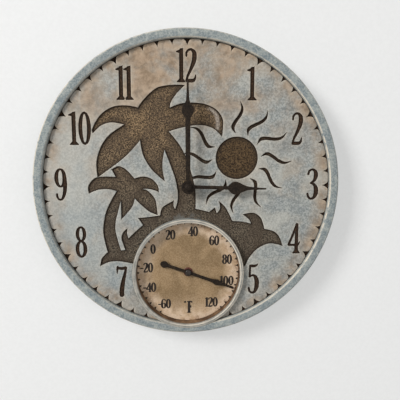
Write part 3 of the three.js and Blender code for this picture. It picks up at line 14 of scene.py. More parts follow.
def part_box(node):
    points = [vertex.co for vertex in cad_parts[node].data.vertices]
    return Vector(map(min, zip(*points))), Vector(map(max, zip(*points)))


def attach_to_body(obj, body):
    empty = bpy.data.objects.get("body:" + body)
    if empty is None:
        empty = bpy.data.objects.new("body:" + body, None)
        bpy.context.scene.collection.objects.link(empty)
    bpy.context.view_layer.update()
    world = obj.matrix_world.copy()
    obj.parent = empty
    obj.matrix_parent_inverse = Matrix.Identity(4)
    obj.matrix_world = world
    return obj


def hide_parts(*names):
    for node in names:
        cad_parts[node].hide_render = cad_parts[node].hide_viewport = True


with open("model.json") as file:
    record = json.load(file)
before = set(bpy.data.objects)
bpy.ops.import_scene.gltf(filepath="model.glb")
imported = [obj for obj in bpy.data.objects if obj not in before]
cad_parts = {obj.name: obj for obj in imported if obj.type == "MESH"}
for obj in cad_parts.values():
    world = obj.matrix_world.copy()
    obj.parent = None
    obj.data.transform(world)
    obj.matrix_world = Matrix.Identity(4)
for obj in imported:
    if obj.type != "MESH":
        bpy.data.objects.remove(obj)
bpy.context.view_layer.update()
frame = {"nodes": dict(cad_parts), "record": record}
MM = 0.001

# Casting, as in the CAD part
CASE_RADIUS = 152.5
CASE_WALL = 4.0
INNER_WALL = CASE_RADIUS - CASE_WALL
RIM_WIDTH = 9.2
RIM_INNER = CASE_RADIUS - RIM_WIDTH
RIM_ROUND = 2.2
BACK_EDGE_ROUND = 0.8
REAR_ROUND = 1.2
DIAL_THICKNESS = 4.0
BUSH_HOLE_RADIUS = 4.55
GAUGE_RING_RADIUS = 57.0
GAUGE_RING_WIDTH = 4.0
GAUGE_RING_MIDDLE = GAUGE_RING_RADIUS - GAUGE_RING_WIDTH / 2
GAUGE_RING_ROUND = 1.4

# What tells the casting's levels apart: the least rise of the rim and the most that a shape is sunk
RIM_RISE = 1.0
DEEPEST_SUNK = 3.2

# Rings drawn beside the rounded edges, and gaps and overlaps where pieces meet
RIM_FLAT = 0.9
RIM_FOOT = 0.6
RIM_SIDE = 1.2
BACK_EDGE_TUCK = 0.24
RING_COVER = 0.8
SEAT_GAP = 0.3

# How finely surfaces are drawn
RIM_STEPS = 720
GAUGE_STEPS = 240
FINE_STEPS = 96
CAP_STEPS = 64
HOLE_STEPS = 48
SHANK_STEPS = 24
ROUND_STEPS = 6
ART_SPACING = 1.1
MARK_SPACING = 0.7
NUMERAL_SPACING = 0.6
FIELD_SPACING = 3.4
BACK_SPACING = 12.0
PLATE_SPACING = 2.2
HEAD_SPACING = 0.8
WALL_ROWS = (-0.75, -0.3, -0.05, 0.2, 0.5, 0.85, 1.8)
ROW_TOLERANCE = 0.12
EDGE_ROWS = (0.3, 0.65, 1.0)
EDGE_TOLERANCE = 0.03
FIELD_MARGIN = 2.2
FIELD_INSET = 1.0
RIM_CLEAR = 0.35
HOLE_CLEAR = 0.5
BACK_INSET = 6.0
BACK_CLEAR = 5.0
SKIN_CELL = 0.14
PLATE_CELL = 0.08
PLATE_MARGIN = 0.4
PLATE_REACH = 1.5
ART_CORNER = 42
NUMERAL_CORNER = 50
HAND_CORNER = 50
MARK_CORNER = 60
SHARP_DEGREES = 40
SOFT_DEGREES = 50
CRISP_DEGREES = 30
CAP_SHARP_DEGREES = 35
LEVEL_TOLERANCE = 0.02
FORWARD_SHARE = 0.999
LOOP_MERGE = 1e-3
MESH_MERGE = 1e-7
LETTER_MERGE = 1e-6
TINY_LENGTH = 1e-9
TINY_AREA = 1e-12
CHUNK = 3_000_000
FAR = 50.0

# Relief: the wall of a sunk shape starts outside its outline and ends inside it
WALL_START = -0.3
WALL_END = 0.85
RELIEF_REACH = 2.5
NUMERAL_DEPTH = 1.0
MARK_STEPS = 9
MARK_LONGER = 1.2
MARK_WIDER = 1.25
MARK_SMALL = 5.0
MARK_SLOPE = 0.5
MARK_REACH = 145.5
MARK_BAND = 130.0
SMALL_ART_AREA = 2500.0

# Paint that follows the relief, by inside distance: a painted highlight just outside each sunk shape,
# dark paint and painted shade down its wall, and painted shade on its floor away from the core
SUNK_EDGE = (-0.12, 0.12)
CORE_EDGE = (0.6, 7.0)
WALL_SHADE_RISE = (-0.3, 0.1)
WALL_SHADE_FALL = (0.7, 1.9)
BRINK_AT = -0.4
BRINK_HALF = 0.45
BRINK_HIGHLIGHT = 0.5

# Pale paint on the rim's edges, as shares of its rounding, and the side where it is most: worn paint,
# and a painted highlight where each edge faces the key light
EDGE_WEAR_AND_HIGHLIGHT_AT = 0.3
EDGE_WEAR_AND_HIGHLIGHT_HALF = 0.42
LEAST_WEAR_AND_HIGHLIGHT = 0.25
INNER_LIT_DEGREES = 5
OUTER_LIT_DEGREES = 190
CORNER_WEAR = 0.6
BACK_WEAR = 0.3
BACK_RIM_PAINT = 0.5

# Numerals of the dial: their height, and the middle of each, across and up from the dial's centre
NUMERAL_HEIGHT = 32.5
NUMERAL_MIDDLES = {
    1: (63.4, 100.9),
    2: (109.7, 56.9),
    3: (126.9, 1.2),
    4: (109.2, -54.8),
    5: (67.8, -97.1),
    7: (-67.8, -98.0),
    8: (-107.8, -56.3),
    9: (-125.8, 2.1),
    10: (-105.4, 57.4),
    11: (-61.1, 101.0),
    12: (-0.9, 117.9),
}

# A pale fold near the end of the right frond: a line across and up, and how it stands out
FOLD = ((22.8, 77.0), (26.2, 74.2), (28.8, 69.9), (29.9, 64.9), (30.1, 60.2), (29.5, 56.8))
FOLD_SPACING = 0.8
FOLD_HEIGHT = 0.7
FOLD_ROWS = (-2.4, -1.7, -1.0, 0.0, 1.0, 1.7, 2.4)
FOLD_FLAT = 1.1
FOLD_EDGE = 2.7
FOLD_PAINT_START = 0.3
FOLD_REACH = 5.0

# Hands: how far they are grown at their thin and wide parts, and half the width of those parts
HAND_GROWTH = (0.35, 0.15)
POINTER_GROWTH = (0.75, 0.1)
BLADE_HALF = (1.0, 2.6)
HAND_SPACING = 1.0
POINTER_SPACING = 0.7
HAND_EDGE = 0.2
POINTER_EDGE = 0.14
NUT_BORE = 1.25
BUTTON_BORE = 1.0
BUTTON_SHARE = 0.88
DOME_SHARE = 0.5
BLIND_SHARE = 0.45
DOME_STEPS = 12
CAP_EDGE = 0.2

# Thermometer: its face, its bush, and its print as temperatures with degrees and radius
FACE_EDGE = 0.25
EYELET_OVERLAP = 2.4
EYELET_BORE = 0.95
EYELET_NECK = 2.15
EYELET_FLANGE = ((0.8, 0.12), (0.2, 0.3), (0.0, 0.45), (0.0, 0.6))
EYELET_FLANGE_REAR = 0.6
SCALE_LOW = -60
SCALE_HIGH = 120
SCALE_DOT_STEP = 5
SCALE_UPRIGHT = 32.4
SCALE_DEGREES_EACH = 1.58
SCALE_LABELS = {
    -60: (234, 42.2),
    -40: (202, 43.2),
    -20: (173.5, 43.2),
    0: (145.7, 43.6),
    20: (114.5, 43.2),
    40: (83, 43.0),
    60: (50.5, 42.7),
    80: (17.5, 42.6),
    100: (-14.2, 41.6),
    120: (-53.8, 41.2),
}
SCALE_LABEL_HEIGHT = 10.2
SCALE_STRETCH = 1.32
SCALE_BOLDNESS = 1.35
SCALE_UNIT_HEIGHT = 12.8
SCALE_UNIT_DROP = 38.2
SCALE_DOT_RADIUS = 51.1
SCALE_DOT_HALF = 1.25
PRINT_THICKNESS = 0.08
PRINT_EMBED = 0.02

# The thermometer's cup
CUP_OVERLAP = 5.0
CUP_WALL = 1.0
CUP_FLANGE = 4.0
CUP_EDGE = 0.2
CUP_INNER_BEND = 0.6
CUP_OUTER_BEND = 1.6
CUP_DIMPLE = 5.0
CUP_DIMPLE_DROP = 0.5

# Fittings at the back. Steps of a profile are given as distances in from a radius and past a level
SIDES = ("left", "right")
BOSS_RADIUS = 4.9
BOSS_FILLET = 1.6
BOSS_EDGE = 0.4
BOSS_ROOT = 0.3
PILOT_RADIUS = 1.62
SCREW_HEAD_HEIGHT = 1.8
SCREW_EDGE = 0.6
SCREW_RADIUS = 1.5
SCREW_POINT = 0.35
SCREW_TAPER = 1.8
THREAD_PITCH = 0.9
THREAD_CREST = 0.12
THREAD_ROOT = 1.15
CROSS_HALF = 0.42
CROSS_REACH = 1.75
CROSS_DEPTH = 1.2
CROSS_MARGIN = 0.3
KNOB_GRIPS = 24
KNOB_GRIP_STEPS = 8
KNOB_GRIP_DEPTH = 0.35
KNOB_GRIP_BAND = 0.9
KNOB_FRONT = ((0.3, 0.0), (0.0, 0.3))
KNOB_REAR = ((0.0, -0.4), (0.4, 0.0), (1.3, 0.0), (1.8, -0.7))
KNOB_BUTTON = ((-0.3, -0.7), (0.0, -0.15), (0.2, 0.0))
KNOB_ROOF = 0.2
KNOB_BORE = 0.95
KNOB_MIDDLE = 1.9
MARK_PROUD = 0.3
MARK_EMBED = 0.2
ARROW_INNER = 8.1
ARROW_OUTER = 8.9
ARROW_DEGREES = (25, 150)
ARROW_STEPS = 40
ARROW_TIP = 2.4
ARROW_BARB = 1.3
SIGN_RISE = 3.4
SIGN_INSET = 6.0
SIGN_SCALE = 0.9
MINUS_SIGN = ((-1.6, -0.35), (1.6, -0.35), (1.6, 0.35), (-1.6, 0.35))
NUB_LENGTH = 1.1
NUB_RADIUS = 2.6
SLEEVE_FOOT = ((1.3, 0.35), (1.1, 0.1), (0.5, 0.1), (0.12, 0.3), (0.0, 0.75))
SLEEVE_SHOULDER = ((0.0, -0.9), (0.12, -0.45), (0.5, -0.2), (1.3, -0.15), (1.5, -0.4))
CAN_FOOT = ((2.6, 0.0), (2.3, 0.35), (0.7, 0.35))
CAN_SHOULDER = ((-0.7, -0.35), (-0.2, 0.15))
CAN_NUB = ((0.0, -0.3), (0.3, 0.0))
CELL_BAND = 14.0
CELL_BAND_EDGE = 0.1


def box_mm(node):
    low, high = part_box(node)
    return np.array(low) / MM, np.array(high) / MM


def measured(node):
    """Half the width of a CAD node, and the levels of its front and rear."""
    low, high = box_mm(node)
    return float(high[0] - low[0]) / 2, float(low[1]), float(high[1])


def middle_of(node):
    low, high = box_mm(node)
    return np.array([(low[0] + high[0]) / 2, (low[2] + high[2]) / 2])


# Faces of the CAD solids
def forward_faces(node):
    """A CAD node's triangles that look straight forward, with the level and area of each."""
    mesh = frame["nodes"][node].data
    mesh.calc_loop_triangles()
    points = np.array([vertex.co for vertex in mesh.vertices]) / MM
    triangles = points[np.array([triangle.vertices for triangle in mesh.loop_triangles])]
    normals = np.cross(triangles[:, 1] - triangles[:, 0], triangles[:, 2] - triangles[:, 0])
    lengths = np.linalg.norm(normals, axis=1)
    forward = normals[:, 1] < -FORWARD_SHARE * np.maximum(lengths, TINY_AREA)
    chosen = triangles[forward]
    return chosen, chosen[:, :, 1].mean(1), lengths[forward] / 2


def widest_levels(node):
    """The levels of a node's forward faces, the one with the largest area first."""
    _, levels, areas = forward_faces(node)
    totals = {}
    for level, area in zip(levels.round(2), areas):
        totals[level] = totals.get(level, 0) + area
    return sorted(totals, key=totals.get, reverse=True)


def case_levels():
    """Levels of the dial, of the rim and of the two depths of the sunk shapes, the wider first."""
    levels = widest_levels("case_shell")
    dial = levels[0]
    rim = next(level for level in levels if level < dial - RIM_RISE)
    sunk = [level for level in levels if LEVEL_TOLERANCE < level - dial < DEEPEST_SUNK]
    return dial, rim, sunk[0], sunk[1]


_, CASE_FRONT, WALL_LEVEL = measured("case_shell")
DIAL_LEVEL, RIM_LEVEL, ART_LEVEL, MARK_LEVEL = case_levels()
GAUGE_CENTRE = (0.0, float(middle_of("thermometer_dial")[1]))


def chained(edges):
    """Closed loops of keys from directed edges."""
    following = {}
    for start, end in edges:
        following.setdefault(start, []).append(end)
    loops = []
    while following:
        loop = [next(iter(following))]
        while True:
            ends = following[loop[-1]]
            there = ends.pop()
            if not ends:
                del following[loop[-1]]
            if there == loop[0]:
                break
            loop.append(there)
        loops.append(loop)
    return loops


def border_loops(triangles):
    """Loops of corner keys round a set of triangles that all turn the same way."""
    edges = set()
    for a, b, c in triangles:
        edges.update(((a, b), (b, c), (c, a)))
    return chained(sorted((a, b) for a, b in edges if (b, a) not in edges))


def level_loops(node, level):
    """Outlines, seen from the front, of a CAD node's forward faces at one level."""
    triangles, levels, _ = forward_faces(node)
    flat = triangles[np.abs(levels - level) < LEVEL_TOLERANCE][:, :, [0, 2]]
    keys = np.round(flat / LOOP_MERGE).astype(int).tolist()
    corners = [[tuple(corner) for corner in triangle] for triangle in keys]
    return [np.array(loop) * LOOP_MERGE for loop in border_loops(corners)]


# Flat geometry
def ramp(value, low, high):
    share = np.clip((value - low) / (high - low), 0, 1)
    return share * share * (3 - 2 * share)


def unit(angle):
    """Unit vectors, across and up, for angles in radians from the right."""
    return np.stack([np.cos(angle), np.sin(angle)], -1)


def left_of(vector):
    return np.array([-vector[1], vector[0]])


def circle(radius, steps, centre=(0.0, 0.0)):
    return radius * unit(np.arange(steps) * 2 * math.pi / steps) + centre


def area_of(loop):
    x, y = loop.T
    return 0.5 * float(np.sum(x * np.roll(y, -1) - np.roll(x, -1) * y))


def oriented(loop, anticlockwise):
    return loop if (area_of(loop) > 0) == anticlockwise else loop[::-1]


def turn_degrees(loop):
    before = loop - np.roll(loop, 1, axis=0)
    after = np.roll(loop, -1, axis=0) - loop
    cross = before[:, 0] * after[:, 1] - before[:, 1] * after[:, 0]
    return np.degrees(np.abs(np.arctan2(cross, (before * after).sum(1))))


def loop_normals(loop):
    along = np.roll(loop, -1, axis=0) - np.roll(loop, 1, axis=0)
    lengths = np.maximum(np.hypot(*along.T), TINY_LENGTH)[:, None]
    return np.stack([along[:, 1], -along[:, 0]], 1) / lengths


def curve_through(points, spacing, closed=False):
    """Points, spacing apart, on a Catmull-Rom curve through the given points."""
    points = np.asarray(points, float)
    before = points[-1] if closed else 2 * points[0] - points[1]
    after = points[:2] if closed else 2 * points[-1] - points[-2]
    padded = np.vstack([before, points, after])
    rows = []
    for p0, p1, p2, p3 in zip(padded, padded[1:], padded[2:], padded[3:]):
        steps = max(1, int(round(np.linalg.norm((p2 - p1)[:2]) / spacing)))
        t = (np.arange(steps) / steps)[:, None]
        square = (2 * p0 - 5 * p1 + 4 * p2 - p3) * t**2
        cube = (3 * p1 - p0 - 3 * p2 + p3) * t**3
        rows.append(0.5 * (2 * p1 + (p2 - p0) * t + square + cube))
    return np.vstack(rows if closed else [*rows, points[-1:]])


def smoothed(loop, spacing, corner_degrees=ART_CORNER):
    """A loop laid on smooth curves between its sharp corners."""
    corners = np.nonzero(turn_degrees(loop) > corner_degrees)[0]
    if len(corners) == 0:
        return curve_through(loop, spacing, closed=True)
    pieces = []
    for start, end in zip(corners, np.roll(corners, -1)):
        length = (end - start) % len(loop) or len(loop)
        run = loop[(start + np.arange(length + 1)) % len(loop)]
        pieces.append(curve_through(run, spacing)[:-1])
    return np.vstack(pieces)


def inside_distance(points, loops):
    """How far each point lies inside the area between closed loops; negative outside."""
    starts = np.vstack(loops)
    ends = np.vstack([np.roll(loop, -1, axis=0) for loop in loops])
    along = ends - starts
    square = np.maximum((along**2).sum(1), TINY_AREA)
    rise = np.where(along[:, 1] == 0, TINY_AREA, along[:, 1])
    result = np.empty(len(points))
    chunk = max(1, CHUNK // len(starts))
    for first in range(0, len(points), chunk):
        p = points[first : first + chunk, None, :]
        offset = p - starts
        share = np.clip((offset * along).sum(2) / square, 0, 1)
        gap = np.sqrt(((offset - share[:, :, None] * along) ** 2).sum(2).min(1))
        above = (starts[:, 1] > p[:, :, 1]) != (ends[:, 1] > p[:, :, 1])
        crossing = starts[:, 0] + (p[:, :, 1] - starts[:, 1]) / rise * along[:, 0]
        odd = (above & (p[:, :, 0] < crossing)).sum(1) % 2 == 1
        result[first : first + chunk] = np.where(odd, gap, -gap)
    return result


def along_loops(loops, rows, tolerance):
    """Points at given inside distances along loops, with that distance as their third value."""
    found = []
    for loop in loops:
        outward = loop_normals(loop)
        for row in rows:
            for sign in (1, -1):
                points = loop - sign * outward * row
                true = np.abs(inside_distance(points, loops) - row) < tolerance
                found.append(np.column_stack([points, np.full(len(points), row)])[true])
    return np.vstack(found)


def between(points, low, high):
    """The numbers of the points inside a flat box."""
    return np.nonzero(((points > low) & (points < high)).all(1))[0]


def hexagonal_grid(radius, spacing):
    rows = []
    rise = spacing * math.sqrt(3) / 2
    count = int(radius / rise) + 1
    for j in range(-count, count + 1):
        x = np.arange(-radius, radius + spacing, spacing) + (j % 2) * spacing / 2
        rows.append(np.column_stack([x, np.full(len(x), j * rise)]))
    points = np.vstack(rows)
    return points[np.hypot(*points.T) < radius]


def thinned(points, cell):
    """Leaves one point in each square cell."""
    _, first = np.unique(np.round(points / cell).astype(int), axis=0, return_index=True)
    return points[np.sort(first)]


def grown(loop, growth, axis):
    """A hand's anticlockwise outline moved outward, more along its thin parts than at its wide ones."""
    offset = loop - np.array(axis)
    length = np.linalg.svd(offset, full_matrices=False)[2][0]
    aside = np.abs(offset[:, 0] * length[1] - offset[:, 1] * length[0])
    amount = growth[0] + (growth[1] - growth[0]) * ramp(aside, *BLADE_HALF)
    return loop + loop_normals(loop) * amount[:, None]


def numbered(loops):
    """Running numbers for the points of each loop."""
    rows = []
    first = 0
    for loop in loops:
        rows.append(list(range(first, first + len(loop))))
        first += len(loop)
    return rows


def delaunay(points, edges, faces, tolerance):
    """Points and faces of a Delaunay mesh, with what each of them comes from."""
    vectors = [Vector(point) for point in points.tolist()]
    found, _, triangles, old_points, _, old_faces = delaunay_2d_cdt(vectors, edges, faces, 0, tolerance)
    return np.array([tuple(point) for point in found]), triangles, old_points, old_faces


def triangulated(loops, extra, keep=None):
    """Points and triangles of a mesh that holds loops, and the numbers of each loop's points in it.
    keep takes the triangles' middles and says which stay. Without it, those between the loops do."""
    rows = numbered(loops)
    edges = [edge for row in rows for edge in zip(row, row[1:] + row[:1])]
    places, triangles, old_points, _ = delaunay(np.vstack([*loops, *extra]), edges, [], MESH_MERGE)
    triangles = np.array(triangles)
    middles = places[triangles].mean(1)
    stays = keep(middles) if keep else inside_distance(middles, loops) > 0
    number = {old: new for new, olds in enumerate(old_points) for old in olds}
    return places, triangles[stays], [[number[old] for old in row] for row in rows]


# Letters and digits, drawn as strokes in a box one unit high. Each stroke is a curve through
# [across, up, half width] points, or a convex shape of [across, up] points.
STEM = 0.062
OVAL_STEPS = 16
OVAL_SWELL = 1.5
FOOT_SLAB = 0.03
FOOT_HEIGHT = 0.11
DIGIT_STEP = 0.33
STEPS = {"1": 0.235, "0": 0.41, "-": 0.27, "o": 0.22, "F": 0.36}
STROKE_SPACING = 0.045
THINNEST = 0.006
DISC_STEPS = 14


def oval(rise, across, up, thick, thin, steps=OVAL_STEPS):
    rows = []
    for i in range(steps + 1):
        angle = 2 * math.pi * i / steps
        width = thin + (thick - thin) * abs(math.cos(angle)) ** OVAL_SWELL
        rows.append([across * math.cos(angle), rise + up * math.sin(angle), width])
    return rows


def foot(across, half, stem):
    """A bracketed foot, as two convex pieces."""
    left, right = across - half, across + half
    slab = [[left, 0.0], [right, 0.0], [right, FOOT_SLAB], [left, FOOT_SLAB]]
    top = [[across + stem, FOOT_HEIGHT], [across - stem, FOOT_HEIGHT]]
    return [slab, [[left, FOOT_SLAB], [right, FOOT_SLAB], *top]]


NINE = [
    oval(0.7, 0.122, 0.268, 0.062, 0.03),
    [[0.13, 0.7, 0.056], [0.134, 0.45, 0.062], [0.1, 0.2, 0.052], [0.025, 0.045, 0.034],
     [-0.06, 0.042, 0.032], [-0.11, 0.12, 0.036], [-0.118, 0.2, 0.034]],
]
GLYPHS = {
    "0": [oval(0.5, 0.128, 0.468, 0.062, 0.032)],
    "1": [
        [[0.0, 0.93, STEM], [0.0, 0.06, STEM]],
        [[-0.16, 0.905], [-0.15, 0.872], [-STEM, 0.855], [STEM, 0.88], [STEM, 1.01]],
        *foot(0.0, 0.135, STEM),
    ],
    "2": [
        [[-0.128, 0.775, 0.03], [-0.122, 0.87, 0.034], [-0.055, 0.95, 0.034], [0.03, 0.955, 0.04],
         [0.1, 0.88, 0.06], [0.115, 0.76, 0.07], [0.088, 0.6, 0.066], [0.0, 0.38, 0.048],
         [-0.085, 0.2, 0.038], [-0.12, 0.08, 0.034]],
        [[-0.118, 0.05, 0.05], [0.0, 0.052, 0.056], [0.08, 0.06, 0.05], [0.13, 0.12, 0.034],
         [0.148, 0.22, 0.016]],
    ],
    "3": [
        [[-0.13, 0.82, 0.036], [-0.105, 0.91, 0.034], [-0.03, 0.96, 0.034], [0.05, 0.945, 0.044],
         [0.105, 0.85, 0.066], [0.1, 0.72, 0.064], [0.045, 0.6, 0.044], [-0.05, 0.54, 0.028]],
        [[-0.05, 0.54, 0.028], [0.06, 0.49, 0.046], [0.122, 0.36, 0.07], [0.116, 0.2, 0.07],
         [0.05, 0.075, 0.046], [-0.04, 0.045, 0.036], [-0.11, 0.1, 0.038], [-0.142, 0.2, 0.036]],
    ],
    "4": [
        [[0.085, 0.95, 0.04], [-0.035, 0.62, 0.038], [-0.165, 0.295, 0.038]],
        [[-0.165, 0.285, 0.038], [0.08, 0.28, 0.038], [0.15, 0.3, 0.03], [0.185, 0.38, 0.016]],
        [[0.085, 0.94, 0.05], [0.08, 0.06, STEM]],
        *foot(0.08, 0.12, STEM),
    ],
    "5": [
        [[-0.09, 0.93, 0.046], [0.02, 0.92, 0.048], [0.09, 0.94, 0.038], [0.145, 0.99, 0.016]],
        [[-0.1, 0.93, 0.036], [-0.112, 0.58, 0.038]],
        [[-0.11, 0.575, 0.03], [-0.02, 0.62, 0.034], [0.06, 0.58, 0.054], [0.115, 0.44, 0.072],
         [0.11, 0.24, 0.072], [0.05, 0.08, 0.048], [-0.04, 0.045, 0.036], [-0.11, 0.1, 0.038],
         [-0.138, 0.2, 0.036]],
    ],
    "6": [[[-x, 1 - y, w] for x, y, w in stroke] for stroke in NINE],
    "7": [
        [[-0.12, 0.93, 0.046], [0.0, 0.91, 0.05], [0.115, 0.935, 0.048]],
        [[-0.135, 0.965, 0.034], [-0.145, 0.86, 0.03], [-0.15, 0.76, 0.016]],
        [[0.13, 0.93, 0.034], [0.085, 0.72, 0.048], [0.02, 0.45, 0.066], [-0.015, 0.22, 0.076],
         [-0.02, 0.06, 0.078]],
    ],
    "8": [oval(0.752, 0.108, 0.216, 0.056, 0.032), oval(0.278, 0.122, 0.246, 0.06, 0.034)],
    "9": NINE,
    "-": [[[-0.08, 0.42, 0.045], [0.08, 0.42, 0.045]]],
    "o": [oval(0.93, 0.045, 0.045, 0.026, 0.026, steps=12)],
    "F": [
        [[-0.05, 0.94, 0.06], [-0.05, 0.05, 0.062]],
        *foot(-0.05, 0.13, 0.07),
        [[-0.13, 0.955, 0.036], [0.1, 0.955, 0.038], [0.13, 0.84, 0.016]],
        [[-0.04, 0.53, 0.036], [0.05, 0.53, 0.036]],
        [[0.07, 0.62, 0.02], [0.07, 0.44, 0.02]],
    ],
}


def stroke_pieces(stroke, boldness):
    """A stroke as convex pieces: a disc at each of its points and a band between neighbours."""
    if len(stroke[0]) == 2:
        return [np.array(stroke)]
    rows = curve_through(stroke, STROKE_SPACING)
    widths = np.maximum(rows[:, 2] * boldness, THINNEST)
    pieces = [circle(width, DISC_STEPS, row[:2]) for row, width in zip(rows, widths)]
    for (a, b), (u, v) in zip(zip(rows[:, :2], rows[1:, :2]), zip(widths, widths[1:])):
        side = left_of(b - a) / max(np.linalg.norm(b - a), TINY_LENGTH)
        pieces.append(np.array([a - side * u, b - side * v, b + side * v, a + side * u]))
    return pieces


def united(pieces):
    """The outline loops of what convex pieces cover together."""
    places, triangles, _, sources = delaunay(np.vstack(pieces), [], numbered(pieces), LETTER_MERGE)
    covered = [triangle for triangle, source in zip(triangles, sources) if source]
    return [places[loop] for loop in border_loops(covered) if len(loop) > 2]


def text_loops(text, height, centre, boldness=1.0, stretch=1.0):
    """Outline loops of a line of letters, its box centred on a point; a list for each letter."""
    start = 0.0
    letters = []
    for letter in text:
        step = STEPS.get(letter, DIGIT_STEP)
        shift = [start + step / 2, 0]
        start += step
        pieces = [piece for stroke in GLYPHS[letter] for piece in stroke_pieces(stroke, boldness)]
        letters.append([(loop + shift) * [height * stretch, height] for loop in united(pieces)])
    everything = np.vstack([loop for loops in letters for loop in loops])
    middle = (everything.min(0) + everything.max(0)) / 2
    return [[loop - middle + centre for loop in loops] for loops in letters]


# Shapes sunk in the dial, with how dark the paint in them is
def sunk_shape(loops, depth, paint, tint=0.0):
    stacked = np.vstack(loops)
    low, high = stacked.min(0) - RELIEF_REACH, stacked.max(0) + RELIEF_REACH
    return {"loops": loops, "depth": depth, "paint": paint, "tint": tint, "low": low, "high": high}


def under_ring(loop):
    """Moves the points of a loop that lie at the thermometer's ring on to under the ring."""
    offset = loop - np.array(GAUGE_CENTRE)
    radius = np.hypot(*offset.T)
    near = radius < GAUGE_RING_RADIUS + RING_COVER
    moved = offset / radius[:, None] * (GAUGE_RING_RADIUS - GAUGE_RING_WIDTH)
    return np.where(near[:, None], moved + GAUGE_CENTRE, loop)


def art_shapes(loops):
    shapes = []
    for loop in loops:
        if np.hypot(*loop.mean(0)) < MARK_BAND:
            outline = smoothed(under_ring(loop), ART_SPACING)
            tint = 1.0 if abs(area_of(loop)) < SMALL_ART_AREA else 0.0
            shapes.append(sunk_shape([outline], ART_LEVEL - DIAL_LEVEL, 0.0, tint))
    return shapes


def mark_outline(outward, tip, half):
    """A mark with hollow sides that runs on into the rim."""
    shares = np.linspace(0, 1, MARK_STEPS)
    radii = np.append(tip + shares * (RIM_INNER - tip), MARK_REACH)
    widths = np.append(half * (MARK_SLOPE * shares + (1 - MARK_SLOPE) * shares**3), half)
    middle = radii[:, None] * outward
    aside = widths[:, None] * left_of(outward)
    return np.vstack([middle - aside, (middle + aside)[:0:-1]])


def mark_shapes(loops, depth):
    shapes = []
    for loop in loops:
        middle = loop.mean(0)
        if np.hypot(*middle) < MARK_BAND:
            continue
        outward = middle / np.hypot(*middle)
        along = loop @ outward
        tip = float(along.min())
        length = float(along.max()) - tip
        half = float(np.abs(loop @ left_of(outward)).max()) * (RIM_INNER - tip) / length
        if length < MARK_SMALL:
            tip -= MARK_LONGER
            half *= MARK_WIDER
        outline = smoothed(mark_outline(outward, tip, half), MARK_SPACING, MARK_CORNER)
        shapes.append(sunk_shape([outline], depth, 1.0))
    return shapes


def numeral_shapes():
    shapes = []
    for hour, middle in NUMERAL_MIDDLES.items():
        letters = text_loops(str(hour), NUMERAL_HEIGHT, middle)
        loops = [smoothed(loop, NUMERAL_SPACING, NUMERAL_CORNER) for letter in letters for loop in letter]
        shapes.append(sunk_shape(loops, NUMERAL_DEPTH, 1.0))
    return shapes


def all_shapes():
    art_loops = level_loops("case_shell", ART_LEVEL)
    shapes = art_shapes(art_loops) + mark_shapes(art_loops, ART_LEVEL - DIAL_LEVEL)
    shapes += mark_shapes(level_loops("case_shell", MARK_LEVEL), MARK_LEVEL - DIAL_LEVEL)
    return shapes + numeral_shapes()


FOLD_LINE = curve_through(FOLD, FOLD_SPACING)


def fold_share(points):
    """How much of the fold's height there is at each point."""
    gaps = np.full(len(points), FAR)
    index = between(points, FOLD_LINE.min(0) - FOLD_REACH, FOLD_LINE.max(0) + FOLD_REACH)
    gaps[index] = np.hypot(*(points[index][:, None] - FOLD_LINE).T).min(0)
    return 1 - ramp(gaps, FOLD_FLAT, FOLD_EDGE)


def fold_points():
    along = np.gradient(FOLD_LINE, axis=0)
    side = np.stack([-along[:, 1], along[:, 0]], 1) / np.hypot(*along.T)[:, None]
    return np.vstack([FOLD_LINE + side * row for row in FOLD_ROWS])


def relief(points, shapes):
    """Inside distance to the nearest shape, and the sunk depth, paint and tint at each point."""
    distance = np.full(len(points), -FAR)
    depth, paint, tint = np.zeros((3, len(points)))
    for shape in shapes:
        index = between(points, shape["low"], shape["high"])
        inside = inside_distance(points[index], shape["loops"])
        closer = inside > distance[index]
        chosen = index[closer]
        distance[chosen] = inside[closer]
        paint[chosen] = shape["paint"]
        tint[chosen] = shape["tint"]
        depth[index] = np.maximum(depth[index], shape["depth"] * ramp(inside, WALL_START, WALL_END))
    depth -= FOLD_HEIGHT * fold_share(points) * ramp(distance, 0, FOLD_EDGE)
    return distance, depth, paint, tint


def wall_points(shapes):
    """Rows of points along the outline of every shape, down its wall."""
    points = np.vstack([along_loops(shape["loops"], WALL_ROWS, ROW_TOLERANCE) for shape in shapes])
    distance = relief(points[:, :2], shapes)[0]
    return points[np.abs(distance - points[:, 2]) < ROW_TOLERANCE][:, :2]


